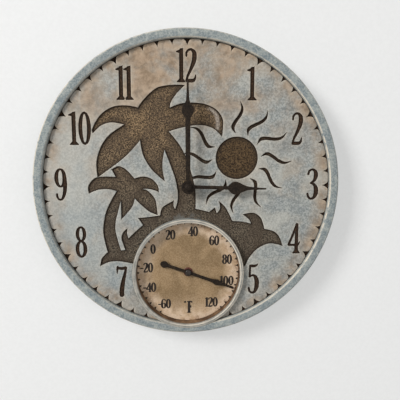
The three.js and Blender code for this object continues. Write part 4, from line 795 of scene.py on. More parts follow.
# Meshes
class Sheet:
    """Gathers the points, faces and painted values of one mesh."""

    def __init__(self):
        self.points = []
        self.faces = []
        self.values = {}
        self.count = 0

    def add_points(self, points, level, **values):
        """Adds flat points at a level along y, and returns the first one's number."""
        first = self.count
        levels = np.broadcast_to(level, len(points))
        self.points.append(np.column_stack([points[:, 0], levels, points[:, 1]]))
        self.count += len(points)
        for name in {**self.values, **values}:
            rows = self.values.setdefault(name, [np.zeros(first)])
            rows.append(np.broadcast_to(values.get(name, 0.0), len(points)).astype(float))
        return first

    def ring(self, radius, level, steps, centre=(0.0, 0.0), **values):
        """Adds a circle, or one point on the axis, and returns a point number for each step."""
        count = steps if radius > TINY_LENGTH else 1
        first = self.add_points(circle(radius, count, centre), level, **values)
        return [first + i % count for i in range(steps)]

    def layer(self, mesh, level, facing_front=True, **values):
        """Adds a triangulated mesh at a level, and returns the point numbers of its loops."""
        places, triangles, rows = mesh
        first = self.add_points(places, level, **values)
        turned_way = triangles if facing_front else triangles[:, [0, 2, 1]]
        self.faces += (turned_way + first).tolist()
        return [[first + i for i in row] for row in rows]

    def band(self, near, far):
        """Joins two closed rows of point numbers. Corners that are the same point are taken once."""
        for a, b, c, d in zip(near, far, far[1:] + far[:1], near[1:] + near[:1]):
            face = list(dict.fromkeys((a, b, c, d)))
            if len(face) > 2:
                self.faces.append(face)

    def build(self, name, sharp_degrees=SHARP_DEGREES):
        mesh = bpy.data.meshes.new(name)
        mesh.from_pydata((np.vstack(self.points) * MM).tolist(), [], self.faces)
        mesh.update()
        for label, rows in self.values.items():
            attribute = mesh.attributes.new(label, "FLOAT", "POINT")
            attribute.data.foreach_set("value", np.concatenate(rows).astype(np.float32))
        mesh.shade_smooth()
        mesh.set_sharp_from_angle(angle=math.radians(sharp_degrees))
        return linked(name, mesh)


def linked(name, data):
    piece = bpy.data.objects.new(name, data)
    bpy.context.scene.collection.objects.link(piece)
    return piece


def attach(piece, material, body, slot, *nodes):
    piece.data.materials.append(material)
    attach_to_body(piece, body)
    if nodes:
        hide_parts(*nodes)


def rounded(radius, level, size, start, end):
    """A rounded corner of a profile in place of the sharp one at a radius and level. Degrees run from
    outward towards the wall."""
    starts, ends = math.radians(start), math.radians(end)
    across = radius - size * (math.cos(starts) + math.cos(ends))
    up = level - size * (math.sin(starts) + math.sin(ends))
    rows = []
    for i in range(ROUND_STEPS + 1):
        angle = math.radians(start + (end - start) * i / ROUND_STEPS)
        rows.append((across + size * math.cos(angle), up + size * math.sin(angle)))
    return rows


def stepped(radius, level, steps):
    """Profile points, each given as a distance in from a radius and one past a level."""
    return [(radius - inset, level + past) for inset, past in steps]


def turned(name, profile, steps, centre=(0.0, 0.0), sharp_degrees=SHARP_DEGREES, **values):
    """A closed profile of (radius, level) pairs turned about an axis along y. It runs anticlockwise as
    seen with the radius to the right and the level, into the wall, upwards."""
    sheet = Sheet()
    rows = [sheet.ring(radius, level, steps, centre, **values) for radius, level in profile]
    for near, far in zip(rows, rows[1:] + rows[:1]):
        sheet.band(near, far)
    return sheet.build(name, sharp_degrees)


def prism(sheet, loops, front, back):
    """Adds a flat letter or mark of some thickness."""
    mesh = triangulated(loops, [])
    for upper, lower in zip(sheet.layer(mesh, front), sheet.layer(mesh, back, facing_front=False)):
        sheet.band(upper, lower)


def plate(name, loops, front, back, edge, spacing):
    """A flat piece with a rounded front edge. The first loop is its outline and the rest are holes."""
    boundary = np.vstack(loops)
    low, high = boundary.min(0), boundary.max(0)
    reach = float(np.abs([low, high]).max()) + spacing
    field = hexagonal_grid(reach * PLATE_REACH, spacing)
    field = field[between(field, low, high)]
    field = field[inside_distance(field, loops) > edge + spacing * PLATE_MARGIN]
    rim = along_loops(loops, np.array(EDGE_ROWS) * edge, EDGE_TOLERANCE)[:, :2]
    mesh = triangulated(loops, [thinned(np.vstack([rim, field]), PLATE_CELL)])
    inside = np.maximum(inside_distance(mesh[0], loops), 0)
    inside[sum(mesh[2], [])] = 0.0
    drop = edge * (1 - np.sqrt(1 - (1 - np.clip(inside / edge, 0, 1)) ** 2))
    sheet = Sheet()
    # paler towards the rounded edge: worn paint and a painted highlight
    top = sheet.layer(mesh, front + drop, wear=1 - np.clip(inside / (2 * edge), 0, 1))
    bottom = sheet.layer(triangulated(loops, []), back, facing_front=False)
    for upper, lower in zip(top, bottom):
        sheet.band(upper, lower)
    return sheet.build(name)


# Casting
def outside_holes(points, margin=0.0):
    """Which points lie outside the dial's holes for the thermometer and the bush."""
    outside_gauge = np.hypot(*(points - GAUGE_CENTRE).T) > GAUGE_RING_MIDDLE + margin
    return outside_gauge & (np.hypot(*points.T) > BUSH_HOLE_RADIUS + margin)


def dial_mesh(radius, points):
    """One face of the dial, with loops at its outer edge and round its two holes."""
    gauge = circle(GAUGE_RING_MIDDLE, GAUGE_STEPS, GAUGE_CENTRE)
    loops = [circle(radius, RIM_STEPS), gauge, circle(BUSH_HOLE_RADIUS, HOLE_STEPS)]
    return triangulated(loops, [points], outside_holes)


def skin_points(shapes):
    field = hexagonal_grid(RIM_INNER - FIELD_INSET, FIELD_SPACING)
    field = field[np.abs(relief(field, shapes)[0]) > FIELD_MARGIN]
    fold = fold_points()
    fold = fold[relief(fold, shapes)[0] > FIELD_MARGIN]
    points = thinned(np.vstack([wall_points(shapes), field, fold]), SKIN_CELL)
    clear_rim = np.hypot(*points.T) < RIM_INNER - RIM_CLEAR
    return points[clear_rim & outside_holes(points, HOLE_CLEAR)]


def edge_wear(inset, degrees):
    """Pale paint on a rounded edge, most on the side a direction gives: worn paint and a painted highlight.
    """
    share = 1 - min(1.0, abs(inset / RIM_ROUND - EDGE_WEAR_AND_HIGHLIGHT_AT) / EDGE_WEAR_AND_HIGHLIGHT_HALF)
    angles = np.arange(RIM_STEPS) * 2 * math.pi / RIM_STEPS
    side = 0.5 + 0.5 * np.cos(angles - math.radians(degrees))
    return share * (LEAST_WEAR_AND_HIGHLIGHT + (1 - LEAST_WEAR_AND_HIGHLIGHT) * side)


def rim_profile():
    """Radius, level and pale paint of the rings round the rim, the outer wall and the back edge: worn
    paint, with a painted highlight on the rim's edges.
    """
    inner = rounded(RIM_INNER, RIM_LEVEL, RIM_ROUND, 180, 270)
    outer = rounded(CASE_RADIUS, RIM_LEVEL, RIM_ROUND, 270, 360)
    return [
        (RIM_INNER, DIAL_LEVEL - RIM_FOOT, 0.0),
        *((radius, level, edge_wear(radius - RIM_INNER, INNER_LIT_DEGREES)) for radius, level in inner),
        (RIM_INNER + RIM_ROUND + RIM_FLAT, RIM_LEVEL, 0.0),
        (CASE_RADIUS - RIM_ROUND - RIM_FLAT, RIM_LEVEL, 0.0),
        *((radius, level, edge_wear(CASE_RADIUS - radius, OUTER_LIT_DEGREES)) for radius, level in outer),
        (CASE_RADIUS, RIM_LEVEL + RIM_ROUND + RIM_SIDE, 0.0),
        (CASE_RADIUS, WALL_LEVEL - BACK_EDGE_ROUND, 0.0),
        (CASE_RADIUS - BACK_EDGE_TUCK, WALL_LEVEL - BACK_EDGE_TUCK, CORNER_WEAR),
        (CASE_RADIUS - BACK_EDGE_ROUND, WALL_LEVEL, BACK_WEAR),
        (INNER_WALL + BACK_EDGE_ROUND, WALL_LEVEL, BACK_WEAR),
        (INNER_WALL, WALL_LEVEL - BACK_EDGE_ROUND, BACK_WEAR),
    ]


def build_casting():
    shapes = all_shapes()
    front = dial_mesh(RIM_INNER, skin_points(shapes))
    distance, depth, paint, tint = relief(front[0], shapes)
    values = {
        "sunk": ramp(distance, *SUNK_EDGE),
        "dark": paint,
        "tint": tint,
        # a painted highlight: a pale band just outside each sunk shape
        "wear": BRINK_HIGHLIGHT * np.clip(1 - np.abs(distance - BRINK_AT) / BRINK_HALF, 0, 1),
        "core": ramp(distance, *CORE_EDGE),
        # dark paint and painted shade in a band down the wall of each sunk shape
        "edge": ramp(distance, *WALL_SHADE_RISE) * (1 - ramp(distance, *WALL_SHADE_FALL)),
        "fold": fold_share(front[0]) * ramp(distance, FOLD_PAINT_START, FOLD_EDGE),
    }
    sheet = Sheet()
    rim, gauge, bush = sheet.layer(front, DIAL_LEVEL + depth, **values)
    rows = [rim]
    for radius, level, wear in rim_profile():
        rows.append(sheet.ring(radius, level, RIM_STEPS, wear=wear, rim=1.0))
    field = hexagonal_grid(INNER_WALL - BACK_INSET, BACK_SPACING)
    back = dial_mesh(INNER_WALL, field[outside_holes(field, BACK_CLEAR)])
    behind = sheet.layer(back, DIAL_LEVEL + DIAL_THICKNESS, facing_front=False, rim=BACK_RIM_PAINT)
    rows.append(behind[0])
    for near, far in zip(rows[1:], rows):
        sheet.band(near, far)
    sheet.band(gauge, behind[1])
    sheet.band(bush, behind[2])
    attach(sheet.build("casting", SOFT_DEGREES), stone_material(), "case", "cast_stone", "case_shell")


def build_well():
    """The thermometer's ring, pocket wall and floor."""
    cup, cup_front, _ = measured("thermometer_cup")
    opening = cup - CUP_OVERLAP
    floor = measured("thermometer_dial")[2] + SEAT_GAP
    rear = cup_front - SEAT_GAP
    pocket = GAUGE_RING_RADIUS - GAUGE_RING_WIDTH
    profile = [
        (opening, floor),
        (pocket, floor),
        *rounded(pocket, CASE_FRONT, GAUGE_RING_ROUND, 180, 270),
        *rounded(GAUGE_RING_RADIUS, CASE_FRONT, GAUGE_RING_ROUND, 270, 360),
        *rounded(GAUGE_RING_RADIUS, rear, REAR_ROUND, 0, 90),
        (opening, rear),
    ]
    well = turned("thermometer_ring", profile[::-1], GAUGE_STEPS, GAUGE_CENTRE)
    attach(well, ring_material(), "case", "cast_stone")


def build_cup():
    """Pressed steel cup with round bends, in front of which the coil sits."""
    flange, front, rear = measured("thermometer_cup")
    outer = flange - CUP_FLANGE
    inner = outer - CUP_WALL
    profile = [
        (0.0, rear - CUP_WALL),
        *rounded(inner, rear - CUP_WALL, CUP_INNER_BEND, 90, 0),
        (inner, front),
        *rounded(flange, front, CUP_EDGE, 270, 360),
        *rounded(flange, front + CUP_WALL, CUP_EDGE, 0, 90),
        *rounded(outer, front + CUP_WALL, CUP_INNER_BEND, 270, 180),
        *rounded(outer, rear, CUP_OUTER_BEND, 0, 90),
        (CUP_DIMPLE + CUP_DIMPLE_DROP, rear),
        (CUP_DIMPLE, rear - CUP_DIMPLE_DROP),
        (0.0, rear - CUP_DIMPLE_DROP),
    ]
    cup = turned("coil_cup", profile, FINE_STEPS, GAUGE_CENTRE)
    attach(cup, plain_material("steel"), "case", "steel", "thermometer_cup")


# Thermometer
def build_face():
    radius, front, rear = measured("thermometer_dial")
    hole = measured("thermometer_eyelet")[0] - EYELET_OVERLAP
    edge = [(radius - FACE_EDGE, front), (radius, front + FACE_EDGE)]
    profile = [(hole, rear), (hole, front), *edge, (radius, rear)]
    face = turned("thermometer_face", profile[::-1], GAUGE_STEPS, GAUGE_CENTRE, CRISP_DEGREES)
    attach(face, face_material(), "case", "dial_print", "thermometer_dial")


def scale_tick(temperature):
    """A small triangle that points to the middle of the scale."""
    outward = unit(math.radians(90 - (temperature - SCALE_UPRIGHT) * SCALE_DEGREES_EACH))
    side = left_of(outward) * SCALE_DOT_HALF
    base = outward * (SCALE_DOT_RADIUS + SCALE_DOT_HALF)
    tip = outward * (SCALE_DOT_RADIUS - SCALE_DOT_HALF)
    return np.array([tip, base - side, base + side]) + GAUGE_CENTRE


def build_print():
    face = measured("thermometer_dial")[1]
    lines = [("oF", SCALE_UNIT_HEIGHT, (0, -SCALE_UNIT_DROP))]
    for temperature, (degrees, radius) in SCALE_LABELS.items():
        lines.append((str(temperature), SCALE_LABEL_HEIGHT, radius * unit(math.radians(degrees))))
    marks = []
    for text, height, middle in lines:
        at = np.array(GAUGE_CENTRE) + middle
        marks += text_loops(text, height, at, SCALE_BOLDNESS, SCALE_STRETCH)
    for temperature in range(SCALE_LOW, SCALE_HIGH + 1, SCALE_DOT_STEP):
        marks.append([scale_tick(temperature)])
    sheet = Sheet()
    for loops in marks:
        prism(sheet, loops, face - PRINT_THICKNESS, face + PRINT_EMBED)
    ink = sheet.build("thermometer_print", CRISP_DEGREES)
    attach(ink, plain_material("scale_ink"), "case", "dial_print")


def build_eyelet():
    flange, front, rear = measured("thermometer_eyelet")
    profile = [
        (EYELET_BORE, rear),
        (EYELET_BORE, front),
        (EYELET_NECK, front),
        *stepped(flange, front, EYELET_FLANGE),
        (EYELET_NECK, front + EYELET_FLANGE_REAR),
        (EYELET_NECK, rear),
    ]
    eyelet = turned("thermometer_bush", profile[::-1], CAP_STEPS, GAUGE_CENTRE)
    attach(eyelet, plain_material("bush_paint"), "case", "brass", "thermometer_eyelet")


# Hands
def outline_of(node, spacing, growth, axis):
    """A thin CAD node's outline, smoothed and grown, with the hole that it turns on."""
    loops = level_loops(node, widest_levels(node)[0])
    loops.sort(key=lambda loop: -abs(area_of(loop)))
    outline = oriented(smoothed(loops[0], spacing, HAND_CORNER), True)
    hole = min(loops[1:], key=lambda loop: np.hypot(*(loop.mean(0) - axis)))
    return [grown(outline, growth, axis), oriented(smoothed(hole, spacing / 2), False)]


def build_flat_hand(name, node, body, spacing, edge, growth, axis):
    _, front, rear = measured(node)
    hand = plate(name, outline_of(node, spacing, growth, axis), front, rear, edge, PLATE_SPACING)
    attach(hand, hand_material(), body, "hand_metal", node)


def build_domed(name, node, body, slot, material, bore, share=1.0):
    """A round cap with a rim, a domed face and a blind bore."""
    half, front, rear = measured(node)
    radius = half * share
    dome = (rear - front) * DOME_SHARE
    blind = front + (rear - front) * BLIND_SHARE
    profile = [(bore, rear), (bore, blind), (0.0, blind), (0.0, front)]
    for i in range(1, DOME_STEPS + 1):
        angle = math.radians(90 * (1 - i / DOME_STEPS))
        profile.append((radius * math.cos(angle), front + dome * (1 - math.sin(angle))))
    profile += [(radius, rear - CAP_EDGE), (radius - CAP_EDGE, rear)]
    cap = turned(name, profile[::-1], CAP_STEPS, middle_of(node), CAP_SHARP_DEGREES)
    attach(cap, material, body, slot, node)


def build_hands():
    pointer = (POINTER_SPACING, POINTER_EDGE, POINTER_GROWTH, GAUGE_CENTRE)
    build_flat_hand("scale_pointer", "thermometer_pointer", "pointer", *pointer)
    button = (plain_material("button_black"), BUTTON_BORE, BUTTON_SHARE)
    build_domed("pointer_button", "pointer_cap", "pointer", "black_plastic", *button)
    for body in ("hour", "minute"):
        hand = (HAND_SPACING, HAND_EDGE, HAND_GROWTH, (0.0, 0.0))
        build_flat_hand(body + "_blade", body + "_hand", body, *hand)
    build_domed("hand_nut", "cap_nut", "minute", "hand_metal", hand_material(), NUT_BORE)


# Rear fittings
def build_bosses():
    """Posts of the casting that the hanger's screws go into."""
    root = DIAL_LEVEL + DIAL_THICKNESS
    top = measured("hanger_plate")[1] - SEAT_GAP
    for side in SIDES:
        node = "hanger_screw_" + side
        bottom = measured(node)[1] - SEAT_GAP
        profile = [
            (0.0, root - BOSS_ROOT),
            (BOSS_RADIUS + BOSS_FILLET, root - BOSS_ROOT),
            *rounded(BOSS_RADIUS, root, BOSS_FILLET, 270, 180),
            *rounded(BOSS_RADIUS, top, BOSS_EDGE, 0, 90),
            (PILOT_RADIUS, top),
            (PILOT_RADIUS, bottom),
            (0.0, bottom),
        ]
        boss = turned("hanger_boss_" + side, profile, HOLE_STEPS, middle_of(node), rim=BACK_RIM_PAINT)
        attach(boss, stone_material(), "case", "cast_stone")


def cross_loop(centre):
    """Outline of a cross-shaped recess, clockwise."""
    corner = np.array([(CROSS_HALF, CROSS_REACH), (CROSS_HALF, CROSS_HALF), (CROSS_REACH, CROSS_HALF)])
    rows = []
    for _ in range(4):
        rows.append(corner)
        corner = corner[:, ::-1] * (1, -1)
    return np.vstack(rows) + centre


def facing_wall(piece):
    """Mirrors a flat piece, built facing the viewer, so that it faces the wall."""
    piece.data.transform(Matrix.Diagonal((1.0, -1.0, 1.0, 1.0)))
    piece.data.flip_normals()
    return piece


def build_screws():
    for side in SIDES:
        node = "hanger_screw_" + side
        radius, tip, top = measured(node)
        centre = middle_of(node)
        under = top - SCREW_HEAD_HEIGHT
        loops = [circle(radius, HOLE_STEPS, centre), cross_loop(centre)]
        head = facing_wall(plate("screw_head_" + side, loops, -top, -under, SCREW_EDGE, HEAD_SPACING))
        attach(head, plain_material("steel"), "case", "steel", node)
        level = tip + SCREW_TAPER
        profile = [(0.0, tip), (SCREW_POINT, tip), (SCREW_RADIUS, level)]
        while level + THREAD_PITCH < under:
            profile.append((SCREW_RADIUS, level + THREAD_CREST))
            profile.append((THREAD_ROOT, level + THREAD_PITCH / 2))
            level += THREAD_PITCH
            profile.append((SCREW_RADIUS, level))
        neck = CROSS_REACH + CROSS_MARGIN
        profile += [(SCREW_RADIUS, under + THREAD_CREST), (neck, under + THREAD_CREST)]
        profile += [(neck, top - CROSS_DEPTH), (0.0, top - CROSS_DEPTH)]
        shank = turned("screw_shank_" + side, profile, SHANK_STEPS, centre)
        attach(shank, plain_material("steel"), "case", "steel")


def build_knob():
    """Knurled setting knob with a sunk face round its middle."""
    radius, front, rear = measured("set_knob")
    centre = middle_of("minute_wheel")
    profile = [
        (KNOB_BORE, front),
        *stepped(radius, front, KNOB_FRONT),
        *stepped(radius, rear, KNOB_REAR),
        *stepped(KNOB_MIDDLE, rear, KNOB_BUTTON),
        (0.0, rear),
        (0.0, rear - KNOB_ROOF),
        (KNOB_BORE, rear - KNOB_ROOF),
    ]
    knob = turned("knurled_knob", profile, KNOB_GRIPS * KNOB_GRIP_STEPS, centre, SOFT_DEGREES)
    for vertex in knob.data.vertices:
        across = vertex.co.x / MM - centre[0]
        up = vertex.co.z / MM - centre[1]
        reach = math.hypot(across, up)
        if reach > radius - KNOB_GRIP_BAND:
            wave = 0.5 + 0.5 * math.cos(KNOB_GRIPS * math.atan2(up, across))
            share = 1 - KNOB_GRIP_DEPTH * (1 - wave) ** 2 / reach
            vertex.co.x = (centre[0] + across * share) * MM
            vertex.co.z = (centre[1] + up * share) * MM
    attach(knob, plain_material("black_plastic"), "setting", "black_plastic", "set_knob")


def build_cover_marks():
    """Raised marks on the movement's rear cover: a turning arrow round the knob and the battery's poles."""
    low, high = box_mm("movement_rear")
    knob = middle_of("set_knob")
    around = unit(np.radians(np.linspace(*ARROW_DEGREES, ARROW_STEPS)))
    arrow = np.vstack([ARROW_OUTER * around, ARROW_INNER * around[::-1]])
    middle = around[-1] * (ARROW_INNER + ARROW_OUTER) / 2
    barb = around[-1] * ARROW_BARB
    head = np.array([middle + barb, middle + left_of(around[-1]) * ARROW_TIP, middle - barb])
    poles = box_mm("battery")[1][2] + SIGN_RISE
    plus = cross_loop((0.0, 0.0))[::-1] * SIGN_SCALE + (high[0] - SIGN_INSET, poles)
    minus = np.array(MINUS_SIGN) + (low[0] + SIGN_INSET, poles)
    sheet = Sheet()
    for loop in (arrow + knob, head + knob, plus, minus):
        prism(sheet, [loop], high[1] - MARK_EMBED, high[1] + MARK_PROUD)
    marks = sheet.build("cover_marks", CRISP_DEGREES)
    attach(marks, plain_material("black_plastic"), "case", "black_plastic")


def lying(piece, at):
    """Turns a piece built on an axis along y so that the axis runs along x, and moves it to its place."""
    piece.data.transform(Matrix.Rotation(math.radians(-90), 4, "Z"))
    piece.data.transform(Matrix.Translation(Vector(at) * MM))
    return piece


def build_battery():
    """AA cell: a printed sleeve shrunk over the ends of a steel can."""
    low, high = box_mm("battery")
    radius = (high[2] - low[2]) / 2
    length = high[0] - low[0]
    body = length - NUB_LENGTH
    at = (low[0], (low[1] + high[1]) / 2, (low[2] + high[2]) / 2)
    profile = stepped(radius, 0.0, SLEEVE_FOOT) + stepped(radius, body, SLEEVE_SHOULDER)
    sleeve = lying(turned("cell_sleeve", profile, FINE_STEPS, sharp_degrees=SOFT_DEGREES), at)
    attach(sleeve, sleeve_material(high[0]), "battery", "battery_sleeve", "battery")
    profile = [
        (0.0, 0.0),
        *stepped(radius, 0.0, CAN_FOOT),
        (radius - CAN_FOOT[-1][0], body - CAN_FOOT[-1][1]),
        *stepped(NUB_RADIUS, body, CAN_SHOULDER),
        *stepped(NUB_RADIUS, length, CAN_NUB),
        (0.0, length),
    ]
    can = lying(turned("cell_can", profile, FINE_STEPS, sharp_degrees=CAP_SHARP_DEGREES), at)
    attach(can, plain_material("steel"), "battery", "steel")


# Materials. A paint is given by values from 0 to 255.
def srgb(red, green, blue):
    """The linear colour of a paint."""
    rows = []
    for value in (red, green, blue):
        share = value / 255
        rows.append(share / 12.92 if share <= 0.04045 else ((share + 0.055) / 1.055) ** 2.4)
    return (*rows, 1.0)


class Nodes:
    """Short calls to build the nodes of a material or of the world."""

    def __init__(self, owner):
        owner.use_nodes = True
        self.owner = owner
        self.tree = owner.node_tree
        self.shader = self.tree.nodes.get("Principled BSDF")

    def feed(self, node, inputs):
        """Gives inputs, by name or number, a socket's link, a paint, a linear colour or a number."""
        for key, value in inputs.items():
            if isinstance(value, bpy.types.NodeSocket):
                self.tree.links.new(value, node.inputs[key])
            elif isinstance(value, tuple) and len(value) == 3:
                node.inputs[key].default_value = srgb(*value)
            else:
                node.inputs[key].default_value = value

    def node(self, kind, inputs, **settings):
        node = self.tree.nodes.new("ShaderNode" + kind)
        for label, value in settings.items():
            setattr(node, label, value)
        self.feed(node, inputs)
        return node

    @cached_property
    def place(self):
        return self.node("TexCoord", {}).outputs["Object"]

    def noise(self, scale, detail=4, roughness=0.55, distortion=0.0):
        inputs = {"Vector": self.place, "Scale": scale, "Detail": detail}
        inputs |= {"Roughness": roughness, "Distortion": distortion}
        return self.node("TexNoise", inputs).outputs["Fac"]

    def attribute(self, name):
        return self.node("Attribute", {}, attribute_name=name).outputs["Fac"]

    def lack(self, name):
        return self.math("SUBTRACT", 1.0, self.attribute(name))

    def spread(self, value, low, high, to_low=0.0, to_high=1.0):
        """A smooth change from one value to another as the input goes from low to high."""
        inputs = {"Value": value, "From Min": low, "From Max": high, "To Min": to_low, "To Max": to_high}
        return self.node("MapRange", inputs, interpolation_type="SMOOTHSTEP").outputs["Result"]

    def math(self, operation, first, second=0.0):
        return self.node("Math", {0: first, 1: second}, operation=operation).outputs["Value"]

    def times(self, *values):
        return reduce(lambda first, second: self.math("MULTIPLY", first, second), values)

    def most(self, *values):
        return reduce(lambda first, second: self.math("MAXIMUM", first, second), values)

    def total(self, *values):
        return reduce(lambda first, second: self.math("ADD", first, second), values)

    def over(self, base, paint, *shares):
        """Paint laid over a colour, as thick as the product of the shares."""
        inputs = {0: self.times(*shares), 6: base, 7: paint}
        return self.node("Mix", inputs, data_type="RGBA").outputs[2]

    def tone(self, value, row):
        """A mix of two paints. The row gives them, and the values at which each of them is alone."""
        first, second, low, high = row
        return self.over(first, second, self.spread(value, low, high))

    def pattern(self, row):
        """A noise and how it is spread."""
        noise, spread = row
        return self.spread(self.noise(*noise), *spread)

    def measure(self, what):
        """X, Y or Z, or the distance from the axis of the dial or the gauge, in metres."""
        parts = self.node("SeparateXYZ", {0: self.place}).outputs
        if what not in AXES:
            return parts[what]
        across = self.math("SUBTRACT", parts["X"], AXES[what][0] * MM)
        up = self.math("SUBTRACT", parts["Z"], AXES[what][1] * MM)
        return self.math("SQRT", self.total(self.times(across, across), self.times(up, up)))

    def fade(self, row):
        """A change over the object: what is measured, from and to how many millimetres, and the values."""
        what, low, high, *values = row
        return self.spread(self.measure(what), low * MM, high * MM, *values)

    def line(self, row):
        """1 along a line: what is measured, its middle, how far it is whole and where it ends, in mm."""
        what, middle, whole, end = row
        gap = self.math("ABSOLUTE", self.math("SUBTRACT", self.measure(what), middle * MM))
        return self.spread(gap, whole * MM, end * MM, 1.0, 0.0)

    def bump(self, height, strength, distance):
        inputs = {"Height": height, "Strength": strength, "Distance": distance * MM}
        self.feed(self.shader, {"Normal": self.node("Bump", inputs).outputs["Normal"]})

    def finish(self, colour, noise, row, metallic=0.0):
        """Sets the shader. The row gives the roughness at low and high values of a noise, and how much
        the surface shines."""
        smooth, rough, specular = row
        roughness = self.spread(noise, *ROUGH_NOISE, smooth, rough)
        inputs = {"Base Color": colour, "Roughness": roughness}
        self.feed(self.shader, inputs | {"Metallic": metallic, "Specular IOR Level": specular})
        return self.owner

    def seen(self):
        """1 for rays from the camera and for those that gloss or a clear piece sends on, else 0."""
        path = self.node("LightPath", {}).outputs
        return self.most(path["Is Camera Ray"], path["Is Glossy Ray"], path["Is Transmission Ray"])

    def either(self, share, first, second):
        return self.node("MixShader", {0: share, 1: first, 2: second}).outputs[0]


AXES = {"dial": (0.0, 0.0), "gauge": GAUGE_CENTRE}
ROUGH_NOISE = (0.3, 0.7)

# Noises: scale, detail, roughness and distortion
CLOUD = (22, 5, 0.6, 0.5)
PATCH = (110, 6, 0.68, 0.3)
GRAIN = (560, 4, 0.7)
SPECK = (760, 4, 0.7)
FACE_CLOUD = (42, 5, 0.6, 0.4)
FACE_EDGE_CLOUD = (90, 4)
FACE_GRAIN = (700, 4, 0.7)
RUST_CLOUD = (90, 5, 0.65)
HAND_GRAIN = (900, 4, 0.6)
HAND_CLOUD = (120, 4)
PLAIN_NOISE = (4, 0.6)
SLEEVE_GRAIN = (500, 3)
SLEEVE_WAVE = (180, 2)
PAPER_NOISE = (300, 3)

# Patterns: a noise, the values of it that are spread, and what they become if not 0 and 1
TAN_CLOUDS = ((17, 5, 0.62, 0.3), (0.38, 0.62))
TAN_BREAKS = ((48, 4, 0.6), (0.4, 0.6, 0.35, 1.0))
TAN_PATCHES = ((30, 4, 0.6), (0.48, 0.68, 0.0, 0.3))
SMEAR_BREAKS = ((160, 5, 0.7), (0.38, 0.58))
BRONZE_CLOUDS = ((50, 5, 0.65), (0.42, 0.6, 0.0, 0.5))
STROKES = ((110, 6, 0.72, 6.0), (0.45, 0.58, 0.0, 0.65))
WEAR_AND_HIGHLIGHT_BREAKS = ((150, 5, 0.65), (0.32, 0.5, 0.0, 0.92))
BRINK_BREAKS = ((90, 4), (0.3, 0.55, 0.35, 1.0))
RUST_SPOTS = ((170, 5, 0.7), (0.54, 0.66, 0.0, 0.75))
STAINS = ((320, 4, 0.7), (0.6, 0.7, 0.0, 0.5))

# Spreads of a noise that has more than one use
PALE_CLOUDS = (0.44, 0.62)
RIGHT_CLOUDS = (0.5, 0.62, 0.0, 0.4)
STROKE_SPECKS = (0.43, 0.6, 0.0, 0.35)
HAND_WORN = (0.46, 0.62, 0.0, 0.28)
PLAIN_SPREAD = (0.35, 0.65)

# Fades and lines over the object, in millimetres
TAN_UP = ("Z", 15, 110, 0.0, 0.95)
TAN_OUT = ("dial", 124, 141, 0.0, 0.85)
LEFT_FADE = ("X", -140, -20, 0.45, 0.0)
LEFT_HEIGHT = ("Z", -85, 15)
RIGHT_FADE = ("X", 20, 100)
RIM_CREVICE = ("dial", 142.2, 143.2, 0.0, 0.75)
RING_CREVICE = ("gauge", 57.1, 58, 0.75, 0.0)
SMEAR_OUT = ("gauge", 59, 64.5, 0.65, 0.0)
SMEAR_UP = ("Z", -60, -40)
SMEAR_LINE = ("X", -5, 4, 22)
BRONZE_HEIGHT = ("Z", -40, 70)
SHADE_HEIGHT = ("Z", -40, 70, 0.3, 0.6)
INNER_BRINK = ("gauge", 53.9, 0.3, 0.7)
OUTER_BRINK = ("gauge", 56.3, 0.2, 0.6)
BRINK_ACROSS = ("X", -50, 30, 0.35, 1.0)
RING_BACK = ("Y", -9, -7)
POCKET_TOP = ("Y", -8.2, -6.2)
POCKET_FLOOR = ("Y", 3, 4, 1.0, 0.0)
POCKET_WALL = ("gauge", 53.3, 53.8, 1.0, 0.0)
FACE_LOW = ("Z", -135, -110, 0.3, 0.0)
FACE_RIM = ("gauge", 43, 52.5)

# Where the face's brown middle ends, and how ragged that edge is, in metres
FACE_MIDDLE_END = (0.035, 0.049)
FACE_RAGGED = 0.02

# Tones: two paints, and the noise values at which each is alone
PATINA = ((132, 138, 138), (155, 158, 154), 0.38, 0.64)
FLECK = ((92, 94, 91), (194, 193, 186), 0.4, 0.62)
TAN = ((134, 114, 92), (172, 149, 125), 0.38, 0.64)
GOLD = ((52, 42, 33), (151, 126, 95), 0.43, 0.6)
GREY_BRONZE = ((48, 43, 37), (114, 102, 86), 0.43, 0.6)
FOLD_TONE = ((124, 112, 101), (172, 162, 149), 0.43, 0.6)
RIM_BLUE = ((110, 121, 126), (153, 158, 154), 0.42, 0.6)
RIM_SCRATCH = ((104, 116, 120), (184, 186, 178), 0.42, 0.6)
NUMERAL_INK = ((42, 30, 21), (78, 58, 41), 0.42, 0.72)
RING_BAND = ((118, 116, 109), (160, 154, 143), 0.4, 0.6)
POCKET_RUST = ((84, 62, 45), (132, 104, 77), 0.4, 0.62)
FACE_BROWN = ((122, 98, 67), (149, 123, 90), 0.38, 0.62)
FACE_CREAM = ((214, 190, 164), (190, 162, 132), 0.42, 0.62)
FACE_FLECK = ((106, 84, 58), (206, 184, 150), 0.42, 0.6)
HAND_BRONZE = ((22, 17, 13), (44, 35, 27), 0.4, 0.62)
SLEEVE_BLUE = ((36, 58, 92), (44, 68, 104), 0.4, 0.6)
SLEEVE_GREY = ((176, 176, 172), (192, 192, 188), 0.4, 0.6)

# Single paints
PALE = (164, 162, 153)
# paler paint towards the left: patina, and a painted brighter side towards the key light
LEFT_PALE_LOW = (150, 160, 163)
LEFT_PALE_HIGH = (189, 188, 181)
FADED_RIGHT = (184, 184, 177)
# pale paint of worn edges, also a painted highlight on the edges that face the key light
WEAR_AND_HIGHLIGHT_PAINT = (224, 211, 190)
# dark paint and painted shade where the dial meets the rim and the thermometer's ring
CREVICE_PAINT_AND_SHADE = (58, 46, 36)
# dark paint and painted shade down the walls of sunk shapes
WALL_PAINT_AND_SHADE = (34, 25, 18)
BRONZE_CLOUD = (70, 59, 49)
SMALL_DARK = (28, 21, 15)
SMALL_LIGHT = (106, 85, 60)
